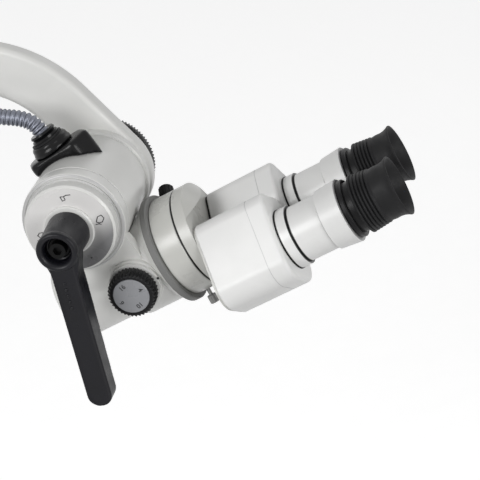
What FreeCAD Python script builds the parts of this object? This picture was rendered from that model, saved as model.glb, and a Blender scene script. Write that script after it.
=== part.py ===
"""Surgical microscope head on its carrier arm.

The arm hangs from a pin. A drum at its end carries the tilt shaft, and the head turns on that shaft:
body with objective and magnification changer, clamp ring, barrel, and a straight binocular tube.
+Z is up, the operator looks along -X, and the tilt axis runs along Y. The origin is at the pin's shoulder.
"""
import FreeCAD, Part
import math
import os

import Sketcher
from FreeCAD import Placement, Rotation, Vector

doc = FreeCAD.newDocument("SurgicalMicroscope")
sheet = doc.addObject("Spreadsheet::Sheet", "Sizes")

SIZES = [
    ("rest_tilt", "31.5", "optical axis above the level, at rest, degrees"),
    ("running_gap", "0.05", "radial gap of a shaft in its bore"),
    ("face_gap", "0.3", "gap between faces that turn past each other"),
    ("pin_radius", "8", "stand pin"),
    ("pin_length", "45", "stand pin above its shoulder"),
    ("pin_groove_radius", "6.8", "retaining groove"),
    ("pin_groove_width", "3.5", "retaining groove"),
    ("pin_groove_depth", "9", "from the pin's top to the groove"),
    ("pin_chamfer", "1.5", "top of the pin"),
    ("spigot_radius", "6", "pressed end of the pin"),
    ("spigot_length", "26", "pressed end of the pin"),
    ("eye_radius", "17", "boss of the arm round the pin"),
    ("eye_height", "50", "boss of the arm round the pin"),
    ("eye_edge", "3", "rounded rims of the boss"),
    ("arm_reach", "135", "pin axis to tilt axis, along X"),
    ("arm_drop", "112", "pin shoulder to tilt axis, along Z"),
    ("arm_thickness", "18", "plate of the arm"),
    ("arm_round", "42.5", "rounded end of the arm"),
    ("arm_edge", "5", "rounded edges of the arm"),
    ("beam_height", "40", "level part of the arm"),
    ("beam_below_top", "6", "from the boss's top to the level part"),
    ("neck_width", "43.5", "slanting part of the arm"),
    ("neck_outer_bend", "118", "outer bend of the arm"),
    ("neck_inner_bend", "76", "inner bend of the arm"),
    ("neck_root", "14", "hollow where the neck meets the round end"),
    ("flange_radius", "41.3", "ring between arm and drum"),
    ("flange_width", "7.5", "ring between arm and drum"),
    ("flange_chamfer", "1", "ring between arm and drum"),
    ("arm_screw_radius", "2.5", "screws of arm and drum"),
    ("arm_screw_head", "4.25", "screws of arm and drum"),
    ("arm_screw_head_height", "5", "screws of arm and drum"),
    ("arm_screw_reach", "8", "thread of those screws in the drum"),
    ("arm_screw_circle", "28", "radius of their circle"),
    ("arm_screw_count", "6", "number of those screws"),
    ("drum_radius", "39.5", "tilt drum"),
    ("drum_width", "67", "tilt drum along its axis"),
    ("drum_wall", "5", "tilt drum"),
    ("drum_front", "29.7", "near end of the drum, before the head's middle"),
    ("drum_chamfer", "1.2", "near rim of the drum"),
    ("shaft_radius", "9", "tilt shaft"),
    ("shaft_thread_radius", "5", "threaded end of the tilt shaft"),
    ("washer_radius", "30", "friction washer between drum and head"),
    ("washer_thickness", "1.5", "friction washer"),
    ("washer_seat", "1.2", "its recess in the drum"),
    ("cap_thickness", "12", "near cap of the head over the drum"),
    ("cap_edge", "2.2", "rounded rim of the cap"),
    ("cap_line_radius", "36.8", "groove on the cap's face"),
    ("cap_line_width", "0.8", "groove on the cap's face"),
    ("cap_boss_radius", "34.5", "raised boss of the cap"),
    ("cap_boss_height", "10.5", "raised boss of the cap"),
    ("cap_boss_chamfer", "1.4", "raised boss of the cap"),
    ("bush_radius", "12", "tilt bush"),
    ("face_disc_radius", "32.6", "disc on the boss"),
    ("face_disc_thickness", "1", "disc on the boss"),
    ("face_disc_seat", "0.5", "its recess in the boss"),
    ("hub_collar_radius", "19", "collar behind the lever"),
    ("hub_collar_width", "2.6", "collar behind the lever"),
    ("lever_hub_back_radius", "16.2", "lever hub at the collar"),
    ("lever_hub_radius", "14.6", "lever hub at its front"),
    ("lever_hub_length", "36", "lever hub"),
    ("lever_bore_radius", "9.7", "recess in the front of the hub"),
    ("lever_bore_depth", "9", "recess in the front of the hub"),
    ("lever_reach", "130", "hub axis to the end of the handle"),
    ("lever_width", "18", "handle"),
    ("lever_depth", "17", "handle"),
    ("lever_edge", "3", "rounded edges of the handle"),
    ("lever_hang", "12", "handle from straight down, degrees"),
    ("lever_nib_radius", "1", "studs on the handle"),
    ("lever_nib_pitch", "5", "studs on the handle"),
    ("lever_nib_start", "25", "hub axis to the first stud"),
    ("lever_nib_count", "5", "studs on the handle"),
    ("insert_radius", "7.5", "threaded steel insert in the hub"),
    ("lever_screw_head_radius", "6", "screw in the hub"),
    ("lever_screw_head_height", "6", "screw in the hub"),
    ("lever_screw_socket", "3", "hexagon socket of that screw, to its flats"),
    ("lever_screw_socket_depth", "3.5", "hexagon socket of that screw"),
    ("lever_screw_radius", "3", "screw in the hub"),
    ("wheel_radius", "37.5", "knurled wheel behind the arm"),
    ("wheel_width", "13", "knurled wheel"),
    ("wheel_gap", "3", "arm to wheel"),
    ("wheel_notch", "1.5", "knurl of the wheel"),
    ("wheel_notches", "48", "knurl of the wheel"),
    ("wheel_dish_radius", "27", "dished face of the wheel"),
    ("wheel_dish_depth", "4", "dished face of the wheel"),
    ("wheel_hub_radius", "13", "metal hub of the wheel"),
    ("wheel_hub_proud", "3", "metal hub behind the wheel"),
    ("axis_back", "36.5", "clamp face to tilt axis, back along the optical axis"),
    ("axis_up", "66.5", "optical axis to tilt axis"),
    ("body_length", "94", "body behind the clamp face"),
    ("body_rear_radius", "33.5", "rear part of the body"),
    ("body_front_radius", "37.8", "front part of the body"),
    ("body_step", "40", "clamp face back to the step of the body"),
    ("body_step_length", "6", "slope of that step"),
    ("body_rear_chamfer", "3.5", "rear rim of the body"),
    ("body_flare_radius", "42.5", "front rim of the body"),
    ("body_flare_length", "6", "front rim of the body"),
    ("saddle_gap", "0.8", "body round the drum"),
    ("web_top", "41", "height on the body where the cheek meets the cap"),
    ("web_top_half_width", "27.5", "cheek at the cap"),
    ("web_top_front", "39", "near face of the cheek at the cap"),
    ("web_foot", "4", "height on the body where the cheek ends"),
    ("web_foot_rear", "41", "cheek at its foot, behind the tilt axis"),
    ("web_foot_fore", "27", "cheek at its foot, before the tilt axis"),
    ("web_foot_front", "32.6", "near face of the cheek at its foot"),
    ("web_foot_back", "18", "back of the cheek at its foot"),
    ("objective_radius", "27", "objective seat"),
    ("objective_depth", "14", "objective seat"),
    ("objective_wall", "3", "objective cell"),
    ("objective_lens_thickness", "5", "objective lens at its middle"),
    ("objective_lens_edge", "2.4", "objective lens at its rim"),
    ("objective_mouth", "4", "bore in front of the objective lens"),
    ("objective_ledge", "1.2", "ledge between that bore and the lens"),
    ("objective_lens_inset", "4.5", "rear face of the cell to the lens"),
    ("beam_radius", "9.5", "bores for the two light paths"),
    ("beam_offset", "11", "light paths from the middle plane"),
    ("changer_back", "24.5", "clamp face back to the changer's axis"),
    ("changer_radius", "16", "changer turret"),
    ("changer_half_width", "22", "changer turret"),
    ("changer_gap", "1", "turret in its cavity"),
    ("changer_shaft_radius", "4", "changer shaft"),
    ("changer_tunnel_radius", "5", "light tunnels of the turret"),
    ("knob_boss_radius", "20.5", "boss of the body under each knob"),
    ("knob_boss_face", "39.5", "middle plane to the boss's face"),
    ("knob_ring_radius", "19.6", "white ring under each knob"),
    ("knob_ring_width", "4.2", "white ring under each knob"),
    ("knob_ring_waist", "0.9", "groove round that ring"),
    ("knob_radius", "18.2", "magnification knobs"),
    ("knob_width", "13", "magnification knobs"),
    ("knob_chamfer", "1.2", "magnification knobs"),
    ("knob_notch", "0.9", "knurl of those knobs"),
    ("knob_notches", "32", "knurl of those knobs"),
    ("scale_radius", "13.9", "numbered disc of each knob"),
    ("scale_thickness", "1.6", "numbered disc of each knob"),
    ("scale_seat", "1.2", "its recess in the knob"),
    ("clamp_radius", "44", "split clamp ring"),
    ("clamp_width", "5.2", "split clamp ring"),
    ("clamp_chamfer", "0.8", "split clamp ring"),
    ("clamp_split", "1.2", "slot through the ring"),
    ("clamp_angle", "60", "ring's screw from the top, to the far side, degrees"),
    ("clamp_lug_radius", "3.6", "lug of the ring"),
    ("clamp_lug_reach", "47", "optical axis to the lug's top"),
    ("clamp_screw_radius", "2", "ring's screw"),
    ("clamp_screw_root", "38", "optical axis to the screw's end"),
    ("clamp_knob_radius", "6.2", "knob of the ring's screw"),
    ("clamp_knob_height", "14", "knob of the ring's screw"),
    ("clamp_knob_notches", "12", "knurl of that knob"),
    ("spigot_mount_radius", "31", "spigots of barrel and binocular base"),
    ("spigot_mount_length", "5.5", "spigot of the barrel"),
    ("base_spigot_length", "16.5", "spigot of the binocular base"),
    ("barrel_radius", "40", "microscope barrel"),
    ("barrel_length", "19.4", "microscope barrel"),
    ("barrel_chamfer", "0.8", "microscope barrel"),
    ("tube_lens_thickness", "4", "lenses in the barrel"),
    ("thumb_angle", "12", "thumbscrew from straight under, to the near side, degrees"),
    ("thumb_place", "5", "thumbscrew from the barrel's rear face"),
    ("thumb_stem_radius", "1.6", "thumbscrew"),
    ("thumb_root", "31.3", "optical axis to the thumbscrew's end"),
    ("thumb_neck", "45.5", "optical axis to the thumbscrew's head"),
    ("thumb_head_radius", "3.7", "thumbscrew"),
    ("thumb_head_length", "7", "thumbscrew"),
    ("thumb_notches", "16", "knurl of the thumbscrew"),
    ("swivel_ring_radius", "38.8", "dark ring between barrel and base"),
    ("swivel_ring_width", "0.8", "dark ring between barrel and base"),
    ("swivel_gap", "0.1", "each side of the dark ring"),
    ("base_radius", "40", "binocular base"),
    ("base_width", "9.8", "flange of the binocular base"),
    ("base_cone_radius", "25", "top of the base's cone"),
    ("base_cone_height", "8", "cone of the base"),
    ("base_cone_floor", "26.5", "height over the optical axis where the cone is cut"),
    ("swing_offset", "18", "swing axes from the middle plane"),
    ("swing_drop", "5.7", "swing axes under the optical axis"),
    ("swing_radius", "22.6", "swing axis to tube centre"),
    ("swing_rest", "35", "swing at rest, degrees from straight down"),
    ("pivot_radius", "10", "hollow pivots of the prism boxes"),
    ("pivot_bore_radius", "8", "light path through the pivots"),
    ("pivot_length", "6", "hollow pivots in the base"),
    ("plate_thickness", "1.4", "black plates under the prism boxes"),
    ("plate_inset", "1.2", "black plates under the prism boxes"),
    ("box_inner_end", "-13.5", "prism box behind its swing axis, towards the top"),
    ("box_inner_width", "11.2", "inner side of the box at its top"),
    ("box_waist", "18", "swing axis to the box's full width"),
    ("box_width", "26.5", "outer and inner side from the tube's middle"),
    ("box_outer_end", "55.5", "swing axis to the box's lower end"),
    ("box_length", "58.5", "prism box along the optical axis"),
    ("box_seam", "44", "rear face of the box to its cover"),
    ("seam_gap", "0.5", "shadow line between box and cover"),
    ("box_corner", "17", "rounded corners of the box"),
    ("box_top_corner", "10", "rounded top corners of the box"),
    ("box_edge", "3", "rounded front rim of the cover"),
    ("box_rear_edge", "1.2", "rear rim of the box"),
    ("box_wall", "3.5", "walls of the prism box"),
    ("prism_width", "10.6", "prism"),
    ("prism_face", "15", "entry and exit face of the prism"),
    ("prism_length", "34", "prism"),
    ("collar_radius", "23.4", "collar on the cover"),
    ("collar_width", "8.3", "collar on the cover"),
    ("seal_radius", "23.8", "black ring behind the collar"),
    ("seal_width", "0.8", "black rings"),
    ("groove_radius", "20.6", "black ring before the collar"),
    ("tube_bore_radius", "17.2", "eyepiece tube"),
    ("tube_radius", "21.6", "eyepiece tube"),
    ("tube_step", "24", "rear of the tube to its step"),
    ("tube_step_radius", "23.2", "tube at the step"),
    ("tube_end_radius", "24.8", "tube at its end"),
    ("tube_length", "41", "eyepiece tube"),
    ("tube_flute", "0.7", "groove at the step"),
    ("sleeve_length", "22", "eyepiece in the tube"),
    ("sleeve_bore_radius", "14", "eyepiece"),
    ("ocular_flange_radius", "22.6", "black flange of the eyepiece"),
    ("ocular_flange_width", "4", "black flange of the eyepiece"),
    ("ocular_neck_radius", "19.8", "eyepiece behind the rubber"),
    ("ocular_neck_width", "4.6", "eyepiece behind the rubber"),
    ("ocular_core_radius", "17.6", "eyepiece under the rubber"),
    ("ocular_core_length", "20", "eyepiece under the rubber"),
    ("eye_lens_thickness", "5", "eye lens"),
    ("eye_lens_depth", "4", "front of the core to the lens"),
    ("cup_bulge_radius", "22.9", "ribbed part of the eyecup"),
    ("cup_rib", "1.2", "depth of its ribs"),
    ("cup_rib_pitch", "2.6", "its ribs"),
    ("cup_rib_count", "6", "its ribs"),
    ("cup_waist_radius", "21.2", "eyecup before its ribs"),
    ("cup_rim_radius", "21.8", "rim of the eyecup"),
    ("cup_length", "32", "eyecup"),
    ("cup_lip", "1.6", "rim of the eyecup"),
    ("gland_direction", "124.9", "gland's axis round the drum, degrees from +X"),
    ("gland_middle", "-6", "gland's middle before the head's middle"),
    ("gland_top", "46.5", "tilt axis to the gland's top face"),
    ("gland_floor", "18", "tilt axis to the gland's lowest corner"),
    ("gland_left", "24", "gland's end beyond its axis, to the left"),
    ("gland_right", "34", "gland's end beyond its axis, to the right"),
    ("gland_slant", "11", "gland's slanted corners"),
    ("gland_half_width", "16", "gland across"),
    ("gland_edge", "1.5", "rounded top of the gland"),
    ("turret_place", "2.5", "turret from the gland's axis, to the right"),
    ("turret_radius", "16.3", "turret of the gland"),
    ("turret_height", "8.5", "turret of the gland"),
    ("gland_nut_radius", "11", "nut on the turret"),
    ("gland_nut_height", "6", "nut on the turret"),
    ("gland_seal_radius", "13", "seal between turret and nut"),
    ("gland_seal_height", "1.4", "seal between turret and nut"),
    ("conduit_radius", "6", "corrugated conduit"),
    ("ferrule_radius", "7.6", "ferrule at the arm"),
    ("ferrule_length", "9", "ferrule at the arm"),
    ("arm_gland_place", "30.1", "pin to the conduit's entry on the arm"),
    ("arm_gland_radius", "10", "conduit's entry on the arm"),
    ("arm_gland_height", "4", "conduit's entry on the arm"),
]

for row, (alias, number, meaning) in enumerate(SIZES, start=1):
    sheet.set(f"A{row}", meaning)
    sheet.set(f"B{row}", number)
    sheet.setAlias(f"B{row}", alias)
doc.recompute()


class Size:
    """A length or angle with the sheet expression that it comes from."""

    def __init__(self, number, text):
        self.number = float(number)
        self.text = text

    @staticmethod
    def of(other):
        """Return other as a Size, a plain number becoming its own expression."""
        return other if isinstance(other, Size) else Size(other, repr(other))

    def __add__(self, other):
        other = Size.of(other)
        return Size(self.number + other.number, f"({self.text} + {other.text})")

    def __sub__(self, other):
        other = Size.of(other)
        return Size(self.number - other.number, f"({self.text} - {other.text})")

    def __mul__(self, other):
        other = Size.of(other)
        return Size(self.number * other.number, f"({self.text} * {other.text})")

    def __truediv__(self, other):
        other = Size.of(other)
        return Size(self.number / other.number, f"({self.text} / {other.text})")

    def __neg__(self):
        return Size(-self.number, f"(0 - {self.text})")

    __radd__ = __add__
    __rmul__ = __mul__

    def __rsub__(self, other):
        return Size.of(other) - self


class Sheet:
    """Gives each cell of the sheet as a Size, by its alias."""

    def __getattr__(self, alias):
        return Size(sheet.get(alias), f"Sizes.{alias}")


mm = Sheet()
ZERO = Size(0, "0")
PARTS = []


def root(size):
    """Return the square root of a Size."""
    return Size(math.sqrt(size.number), f"sqrt({size.text})")


def cosine(size):
    """Return the cosine of a Size in degrees."""
    return Size(math.cos(math.radians(size.number)), f"cos({size.text} * 1 deg)")


def sine(size):
    """Return the sine of a Size in degrees."""
    return Size(math.sin(math.radians(size.number)), f"sin({size.text} * 1 deg)")


def bind(item, name, size):
    """Set a property from a size, and bind it to the sheet."""
    size = Size.of(size)
    item.setExpression(name, size.text)


def new_body(name):
    """Start a sub-part, whose label names its file."""
    body = doc.addObject("PartDesign::Body", name)
    body.Label = name
    PARTS.append(body)
    return body


def origin_item(body, role):
    """Return one of the body's own origin planes or axes."""
    return next(item for item in body.Origin.OriginFeatures if item.Role == role)


def new_sketch(body, role, offset=ZERO):
    """Attach a sketch to one of the body's origin planes, at an offset."""
    sketch = body.newObject("Sketcher::SketchObject", f"{body.Name}_sketch")
    sketch.AttachmentSupport = [(origin_item(body, role), "")]
    sketch.MapMode = "FlatFace"
    offset = Size.of(offset)
    sketch.AttachmentOffset = Placement(Vector(0, 0, offset.number), Rotation())
    sketch.setExpression("AttachmentOffset.Base.z", offset.text)
    return sketch


def constrain(sketch, kind, geometry, point, size):
    """Hold one coordinate of a sketch point at a size."""
    index = sketch.addConstraint(Sketcher.Constraint(kind, -1, 1, geometry, point, size.number))
    name = f"c{index}"
    sketch.renameConstraint(index, name)
    sketch.setExpression(f"Constraints.{name}", size.text)


def draw_outline(sketch, corners):
    """Draw a closed outline through corners given as pairs of sizes."""
    corners = [(Size.of(a), Size.of(b)) for a, b in corners]
    points = [Vector(a.number, b.number, 0) for a, b in corners]
    first = sketch.GeometryCount
    count = len(points)
    for index in range(count):
        line = Part.LineSegment(points[index], points[(index + 1) % count])
        sketch.addGeometry(line, False)
    for index in range(count):
        following = (index + 1) % count
        sketch.addConstraint(Sketcher.Constraint("Coincident", first + index, 2, first + following, 1))
    for index, (a, b) in enumerate(corners):
        constrain(sketch, "DistanceX", first + index, 1, a)
        constrain(sketch, "DistanceY", first + index, 1, b)
    return sketch


def draw_rounded_end(sketch, corners, radius):
    """Draw a chain of corners that an arc about the sketch's origin closes, counterclockwise to the first."""
    points = [Vector(a.number, b.number, 0) for a, b in corners]
    count = len(points)
    for index in range(count - 1):
        sketch.addGeometry(Part.LineSegment(points[index], points[index + 1]), False)
    circle = Part.Circle(Vector(), Vector(0, 0, 1), radius.number)
    start = math.atan2(points[-1].y, points[-1].x)
    end = math.atan2(points[0].y, points[0].x)
    arc = sketch.addGeometry(Part.ArcOfCircle(circle, start, end), False)
    for index in range(count - 2):
        sketch.addConstraint(Sketcher.Constraint("Coincident", index, 2, index + 1, 1))
    sketch.addConstraint(Sketcher.Constraint("Coincident", arc - 1, 2, arc, 1))
    sketch.addConstraint(Sketcher.Constraint("Coincident", arc, 2, 0, 1))
    sketch.addConstraint(Sketcher.Constraint("Coincident", arc, 3, -1, 1))
    for index, (a, b) in enumerate(corners[:-1]):
        constrain(sketch, "DistanceX", index, 1, a)
        constrain(sketch, "DistanceY", index, 1, b)
    constrain(sketch, "DistanceX", arc, 1, corners[-1][0])
    return sketch


def draw_circle(sketch, across, along, radius):
    """Draw a circle at a place and radius given as sizes."""
    across, along, radius = Size.of(across), Size.of(along), Size.of(radius)
    centre = Vector(across.number, along.number, 0)
    index = sketch.addGeometry(Part.Circle(centre, Vector(0, 0, 1), radius.number), False)
    constrain(sketch, "DistanceX", index, 3, across)
    constrain(sketch, "DistanceY", index, 3, along)
    held = sketch.addConstraint(Sketcher.Constraint("Radius", index, radius.number))
    sketch.renameConstraint(held, f"r{held}")
    sketch.setExpression(f"Constraints.r{held}", radius.text)
    return sketch


def settle(body, feature):
    """Recompute, make the feature the body's tip and stop if it failed."""
    body.Tip = feature
    doc.recompute()
    if "Invalid" in feature.State or "Error" in feature.State or not feature.Shape.isValid():
        raise RuntimeError(f"{body.Label}: {feature.Name} failed")
    return feature


def revolve(body, corners):
    """Turn an outline of (radius, height) corners round the body's Z axis."""
    sketch = draw_outline(new_sketch(body, "XZ_Plane"), corners)
    feature = body.newObject("PartDesign::Revolution", f"{body.Name}_turned")
    feature.Profile = sketch
    feature.ReferenceAxis = (sketch, ["V_Axis"])
    feature.Angle = 360
    return settle(body, feature)


def groove(body, corners):
    """Cut an outline turned round the body's Z axis."""
    before = body.Shape.Volume
    sketch = draw_outline(new_sketch(body, "XZ_Plane"), corners)
    feature = body.newObject("PartDesign::Groove", f"{body.Name}_groove")
    feature.Profile = sketch
    feature.ReferenceAxis = (sketch, ["V_Axis"])
    feature.Angle = 360
    settle(body, feature)
    if before - body.Shape.Volume < 1e-6:
        raise RuntimeError(f"{body.Label}: a groove cuts nothing")
    return feature


def pad(body, sketch, length, backwards=False):
    """Raise a sketch to a solid."""
    feature = body.newObject("PartDesign::Pad", f"{body.Name}_pad")
    feature.Profile = sketch
    feature.Length = Size.of(length).number
    bind(feature, "Length", length)
    feature.Reversed = backwards
    return settle(body, feature)


def cut(body, sketch, length, forwards=True):
    """Cut a sketch along its plane's normal, or against it."""
    before = body.Shape.Volume
    feature = body.newObject("PartDesign::Pocket", f"{body.Name}_pocket")
    feature.Profile = sketch
    feature.Length = Size.of(length).number
    bind(feature, "Length", length)
    feature.Reversed = forwards
    settle(body, feature)
    if before - body.Shape.Volume < 1e-6:
        raise RuntimeError(f"{body.Label}: a pocket cuts nothing")
    return feature


def round_edges(body, radius, pick, kind="Fillet"):
    """Round or chamfer the edges that pick accepts."""
    names = [f"Edge{index}" for index, edge in enumerate(body.Shape.Edges, start=1) if pick(edge)]
    if not names:
        raise RuntimeError(f"{body.Label}: no edge to round")
    base = body.Tip
    feature = body.newObject(f"PartDesign::{kind}", f"{body.Name}_{kind.lower()}")
    feature.Base = (base, names)
    bind(feature, "Radius" if kind == "Fillet" else "Size", radius)
    return settle(body, feature)


def repeat_round(body, feature, count):
    """Repeat a feature round the body's Z axis."""
    pattern = body.newObject("PartDesign::PolarPattern", f"{body.Name}_ring")
    pattern.Originals = [feature]
    pattern.Axis = (origin_item(body, "Z_Axis"), [""])
    pattern.Angle = 360
    pattern.Occurrences = int(count.number)
    bind(pattern, "Occurrences", count)
    return settle(body, pattern)


def knurl(body, radius, notch, count, start, length):
    """Cut round notches along the rim of a turned body."""
    sketch = draw_circle(new_sketch(body, "XY_Plane", start), radius, ZERO, notch)
    return repeat_round(body, cut(body, sketch, length), count)


def turned(name, corners, place=None):
    """Make a sub-part by turning an outline."""
    body = new_body(name)
    revolve(body, corners)
    if place is not None:
        body.Placement = place
    return body


def flat_at(level):
    """Accept edges that lie wholly at a height of the body's Z axis."""
    return lambda edge: all(abs(vertex.Z - level.number) < 1e-4 for vertex in edge.Vertexes) and (
        edge.BoundBox.ZLength < 1e-4)


def circle_at(across, radius):
    """Accept full circles about the tilt axis, at a place across the body and with a radius."""
    def accept(edge):
        centre_x = (edge.BoundBox.XMin + edge.BoundBox.XMax) / 2
        wide = edge.BoundBox.ZLength
        return edge.BoundBox.XLength < 1e-4 and abs(centre_x - across.number) < 1e-4 and (
            abs(wide - 2 * radius.number) < 1e-3)
    return accept


def upright(edge):
    """Accept straight edges along the body's Z axis."""
    box = edge.BoundBox
    return box.XLength < 1e-5 and box.YLength < 1e-5 and box.ZLength > 1


def group(name, members):
    """Join solids of one kind in one sub-part, without fusing them."""
    item = doc.addObject("Part::Compound", name)
    item.Label = name
    item.Links = members
    for member in members:
        if member in PARTS:
            PARTS.remove(member)
    PARTS.append(item)
    doc.recompute()
    return item


# Stations along the tilt axis, counted towards the viewer from the head's middle plane
drum_back = mm.drum_front - mm.drum_width
arm_front = drum_back - mm.flange_width
arm_back = arm_front - mm.arm_thickness
arm_middle = arm_front - mm.arm_thickness / 2
wheel_front = arm_back - mm.wheel_gap
wheel_back = wheel_front - mm.wheel_width
cap_back = mm.drum_front + mm.face_gap
cap_face = cap_back + mm.cap_thickness
boss_face = cap_face + mm.cap_boss_height
disc_face = boss_face - mm.face_disc_seat + mm.face_disc_thickness
collar_face = disc_face + mm.hub_collar_width
lever_back = collar_face + mm.face_gap
lever_front = lever_back + mm.lever_hub_length

tilt = math.radians(mm.rest_tilt.number)
ALONG = Vector(math.cos(tilt), 0, math.sin(tilt))
RISE = Vector(-math.sin(tilt), 0, math.cos(tilt))
FAR = Vector(0, 1, 0)
head_turn = Rotation(FAR, RISE, ALONG, "ZXY")
drum_turn = Rotation(Vector(1, 0, 0), 90)
tilt_centre = Vector(mm.arm_reach.number, arm_middle.number, -mm.arm_drop.number)
head_centre = tilt_centre + ALONG * mm.axis_back.number - RISE * mm.axis_up.number


def head_at(along, far=ZERO, rise=ZERO):
    """Return a placement in the head, whose Z axis is the optical axis and X points to the far side."""
    along, far, rise = Size.of(along), Size.of(far), Size.of(rise)
    place = head_centre + ALONG * along.number + FAR * far.number + RISE * rise.number
    return Placement(place, head_turn)


def drum_at(station, across=ZERO, up=ZERO):
    """Return a placement on the tilt axis, whose Z axis points to the viewer."""
    place = tilt_centre + Vector(Size.of(across).number, -Size.of(station).number, Size.of(up).number)
    return Placement(place, drum_turn)


def radial_at(along, angle):
    """Return a placement in the head whose Z axis points outwards, turned from the top to the far side."""
    outward = RISE * math.cos(math.radians(angle.number)) + FAR * math.sin(math.radians(angle.number))
    place = head_centre + ALONG * Size.of(along).number
    return Placement(place, Rotation(Vector(0, 0, 1), outward))


def tube_at(side, along, reach=ZERO):
    """Return a placement in a prism box: X points from its swing axis to its tube."""
    centre = head_at(along, mm.swing_offset * side, -mm.swing_drop)
    turn = Rotation(Vector(0, 0, 1), -90 + side * mm.swing_rest.number)
    return centre * Placement(Vector(), turn) * Placement(Vector(Size.of(reach).number, 0, 0), Rotation())


def make_stand_pin():
    """The pin that the stand's arm takes, with its groove and its pressed end."""
    top = mm.pin_length
    groove_top = top - mm.pin_groove_depth
    groove_foot = groove_top - mm.pin_groove_width
    turned("stand_pin", [
        (ZERO, -mm.spigot_length), (mm.spigot_radius, -mm.spigot_length), (mm.spigot_radius, ZERO),
        (mm.pin_radius, ZERO), (mm.pin_radius, groove_foot), (mm.pin_groove_radius, groove_foot),
        (mm.pin_groove_radius, groove_top), (mm.pin_radius, groove_top),
        (mm.pin_radius, top - mm.pin_chamfer), (mm.pin_radius - mm.pin_chamfer, top), (ZERO, top),
    ])


def make_carrier_arm():
    """The cast arm: level beam, bent neck, round end, and the boss round the pin."""
    body = new_body("carrier_arm")
    # The arm is drawn looking along Y, from the tilt axis
    rim = mm.arm_round
    slope = root(Size(2, "2"))
    outer_top = mm.arm_drop - mm.beam_below_top
    inner_top = outer_top - mm.beam_height
    outer_line = rim * slope
    inner_line = outer_line - mm.neck_width * slope
    spread = root(rim * rim * 2 - inner_line * inner_line)
    plate = draw_rounded_end(new_sketch(body, "XZ_Plane", -mm.arm_thickness / 2), [
        (rim / slope, rim / slope), (outer_line - outer_top, outer_top),
        (-mm.arm_reach, outer_top), (-mm.arm_reach, inner_top),
        (inner_line - inner_top, inner_top), ((inner_line - spread) / 2, (inner_line + spread) / 2),
    ], rim)
    pad(body, plate, mm.arm_thickness)

    def bend(line, top):
        corner = Vector(line.number - top.number, 0, top.number)
        return lambda edge: all((Vector(v.X, 0, v.Z) - corner).Length < 1e-3 for v in edge.Vertexes)
    round_edges(body, mm.neck_outer_bend, bend(outer_line, outer_top))
    round_edges(body, mm.neck_inner_bend, bend(inner_line, inner_top))
    meeting = Vector((inner_line - spread).number / 2, 0, (inner_line + spread).number / 2)
    round_edges(body, mm.neck_root, lambda edge: all(
        (Vector(v.X, 0, v.Z) - meeting).Length < 1e-3 for v in edge.Vertexes))
    half = mm.arm_thickness.number / 2
    round_edges(body, mm.arm_edge, lambda edge: edge.BoundBox.YLength < 1e-4 and abs(
        abs(edge.BoundBox.YMin) - half) < 1e-4)
    eye = draw_circle(new_sketch(body, "XY_Plane", mm.arm_drop - mm.eye_height),
                      -mm.arm_reach, ZERO, mm.eye_radius)
    pad(body, eye, mm.eye_height)
    round_edges(body, mm.eye_edge, lambda edge: edge.BoundBox.ZLength < 1e-4 and abs(
        edge.BoundBox.XLength - 2 * mm.eye_radius.number) < 1e-3)
    seat = draw_circle(new_sketch(body, "XY_Plane", mm.arm_drop), -mm.arm_reach, ZERO, mm.spigot_radius)
    cut(body, seat, mm.spigot_length, forwards=False)
    bore = draw_circle(new_sketch(body, "XZ_Plane", -mm.arm_thickness / 2), ZERO, ZERO, mm.shaft_radius)
    cut(body, bore, mm.arm_thickness)
    for radius, depth in ((mm.arm_screw_radius, mm.arm_thickness), (mm.arm_screw_head, mm.arm_screw_head_height)):
        holes = new_sketch(body, "XZ_Plane", -mm.arm_thickness / 2)
        for index in range(int(mm.arm_screw_count.number)):
            turn = Size.of(360) * (index + 0.5) / mm.arm_screw_count
            draw_circle(holes, mm.arm_screw_circle * cosine(turn), mm.arm_screw_circle * sine(turn), radius)
        cut(body, holes, depth)
    body.Placement = Placement(Vector(tilt_centre.x, 0, tilt_centre.z), Rotation())


def make_flange():
    """The stepped ring between the arm and the drum, with the arm's screw holes."""
    width = mm.flange_width
    rim = mm.flange_radius
    body = turned("arm_flange", [
        (mm.shaft_radius, ZERO), (rim, ZERO), (rim, width - mm.flange_chamfer),
        (rim - mm.flange_chamfer, width), (mm.shaft_radius, width),
    ])
    drill(body, ZERO, width)
    body.Placement = drum_at(arm_front)


def drill(body, start, depth):
    """Cut the arm's ring of screw holes into a turned body."""
    holes = new_sketch(body, "XY_Plane", start)
    for index in range(int(mm.arm_screw_count.number)):
        turn = Size.of(360) * (index + 0.5) / mm.arm_screw_count
        draw_circle(holes, mm.arm_screw_circle * cosine(turn), mm.arm_screw_circle * sine(turn),
                    mm.arm_screw_radius)
    cut(body, holes, depth)


def make_arm_screws():
    """The socket screws that hold flange and drum to the arm, as one group."""
    members = []
    shank = mm.arm_thickness - mm.arm_screw_head_height + mm.flange_width + mm.arm_screw_reach
    socket = mm.arm_screw_head * 0.45
    head = mm.arm_screw_head_height
    for index in range(int(mm.arm_screw_count.number)):
        turn = math.radians(360 * (index + 0.5) / mm.arm_screw_count.number)
        body = turned(f"arm_screw_{index + 1}", [
            (socket, ZERO), (mm.arm_screw_head, ZERO), (mm.arm_screw_head, head),
            (mm.arm_screw_radius, head), (mm.arm_screw_radius, head + shank), (ZERO, head + shank),
            (ZERO, head / 2), (socket, head / 2),
        ])
        circle = mm.arm_screw_circle.number
        body.Placement = drum_at(arm_back, circle * math.cos(turn), circle * math.sin(turn))
        members.append(body)
    group("arm_screws", members)


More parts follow.
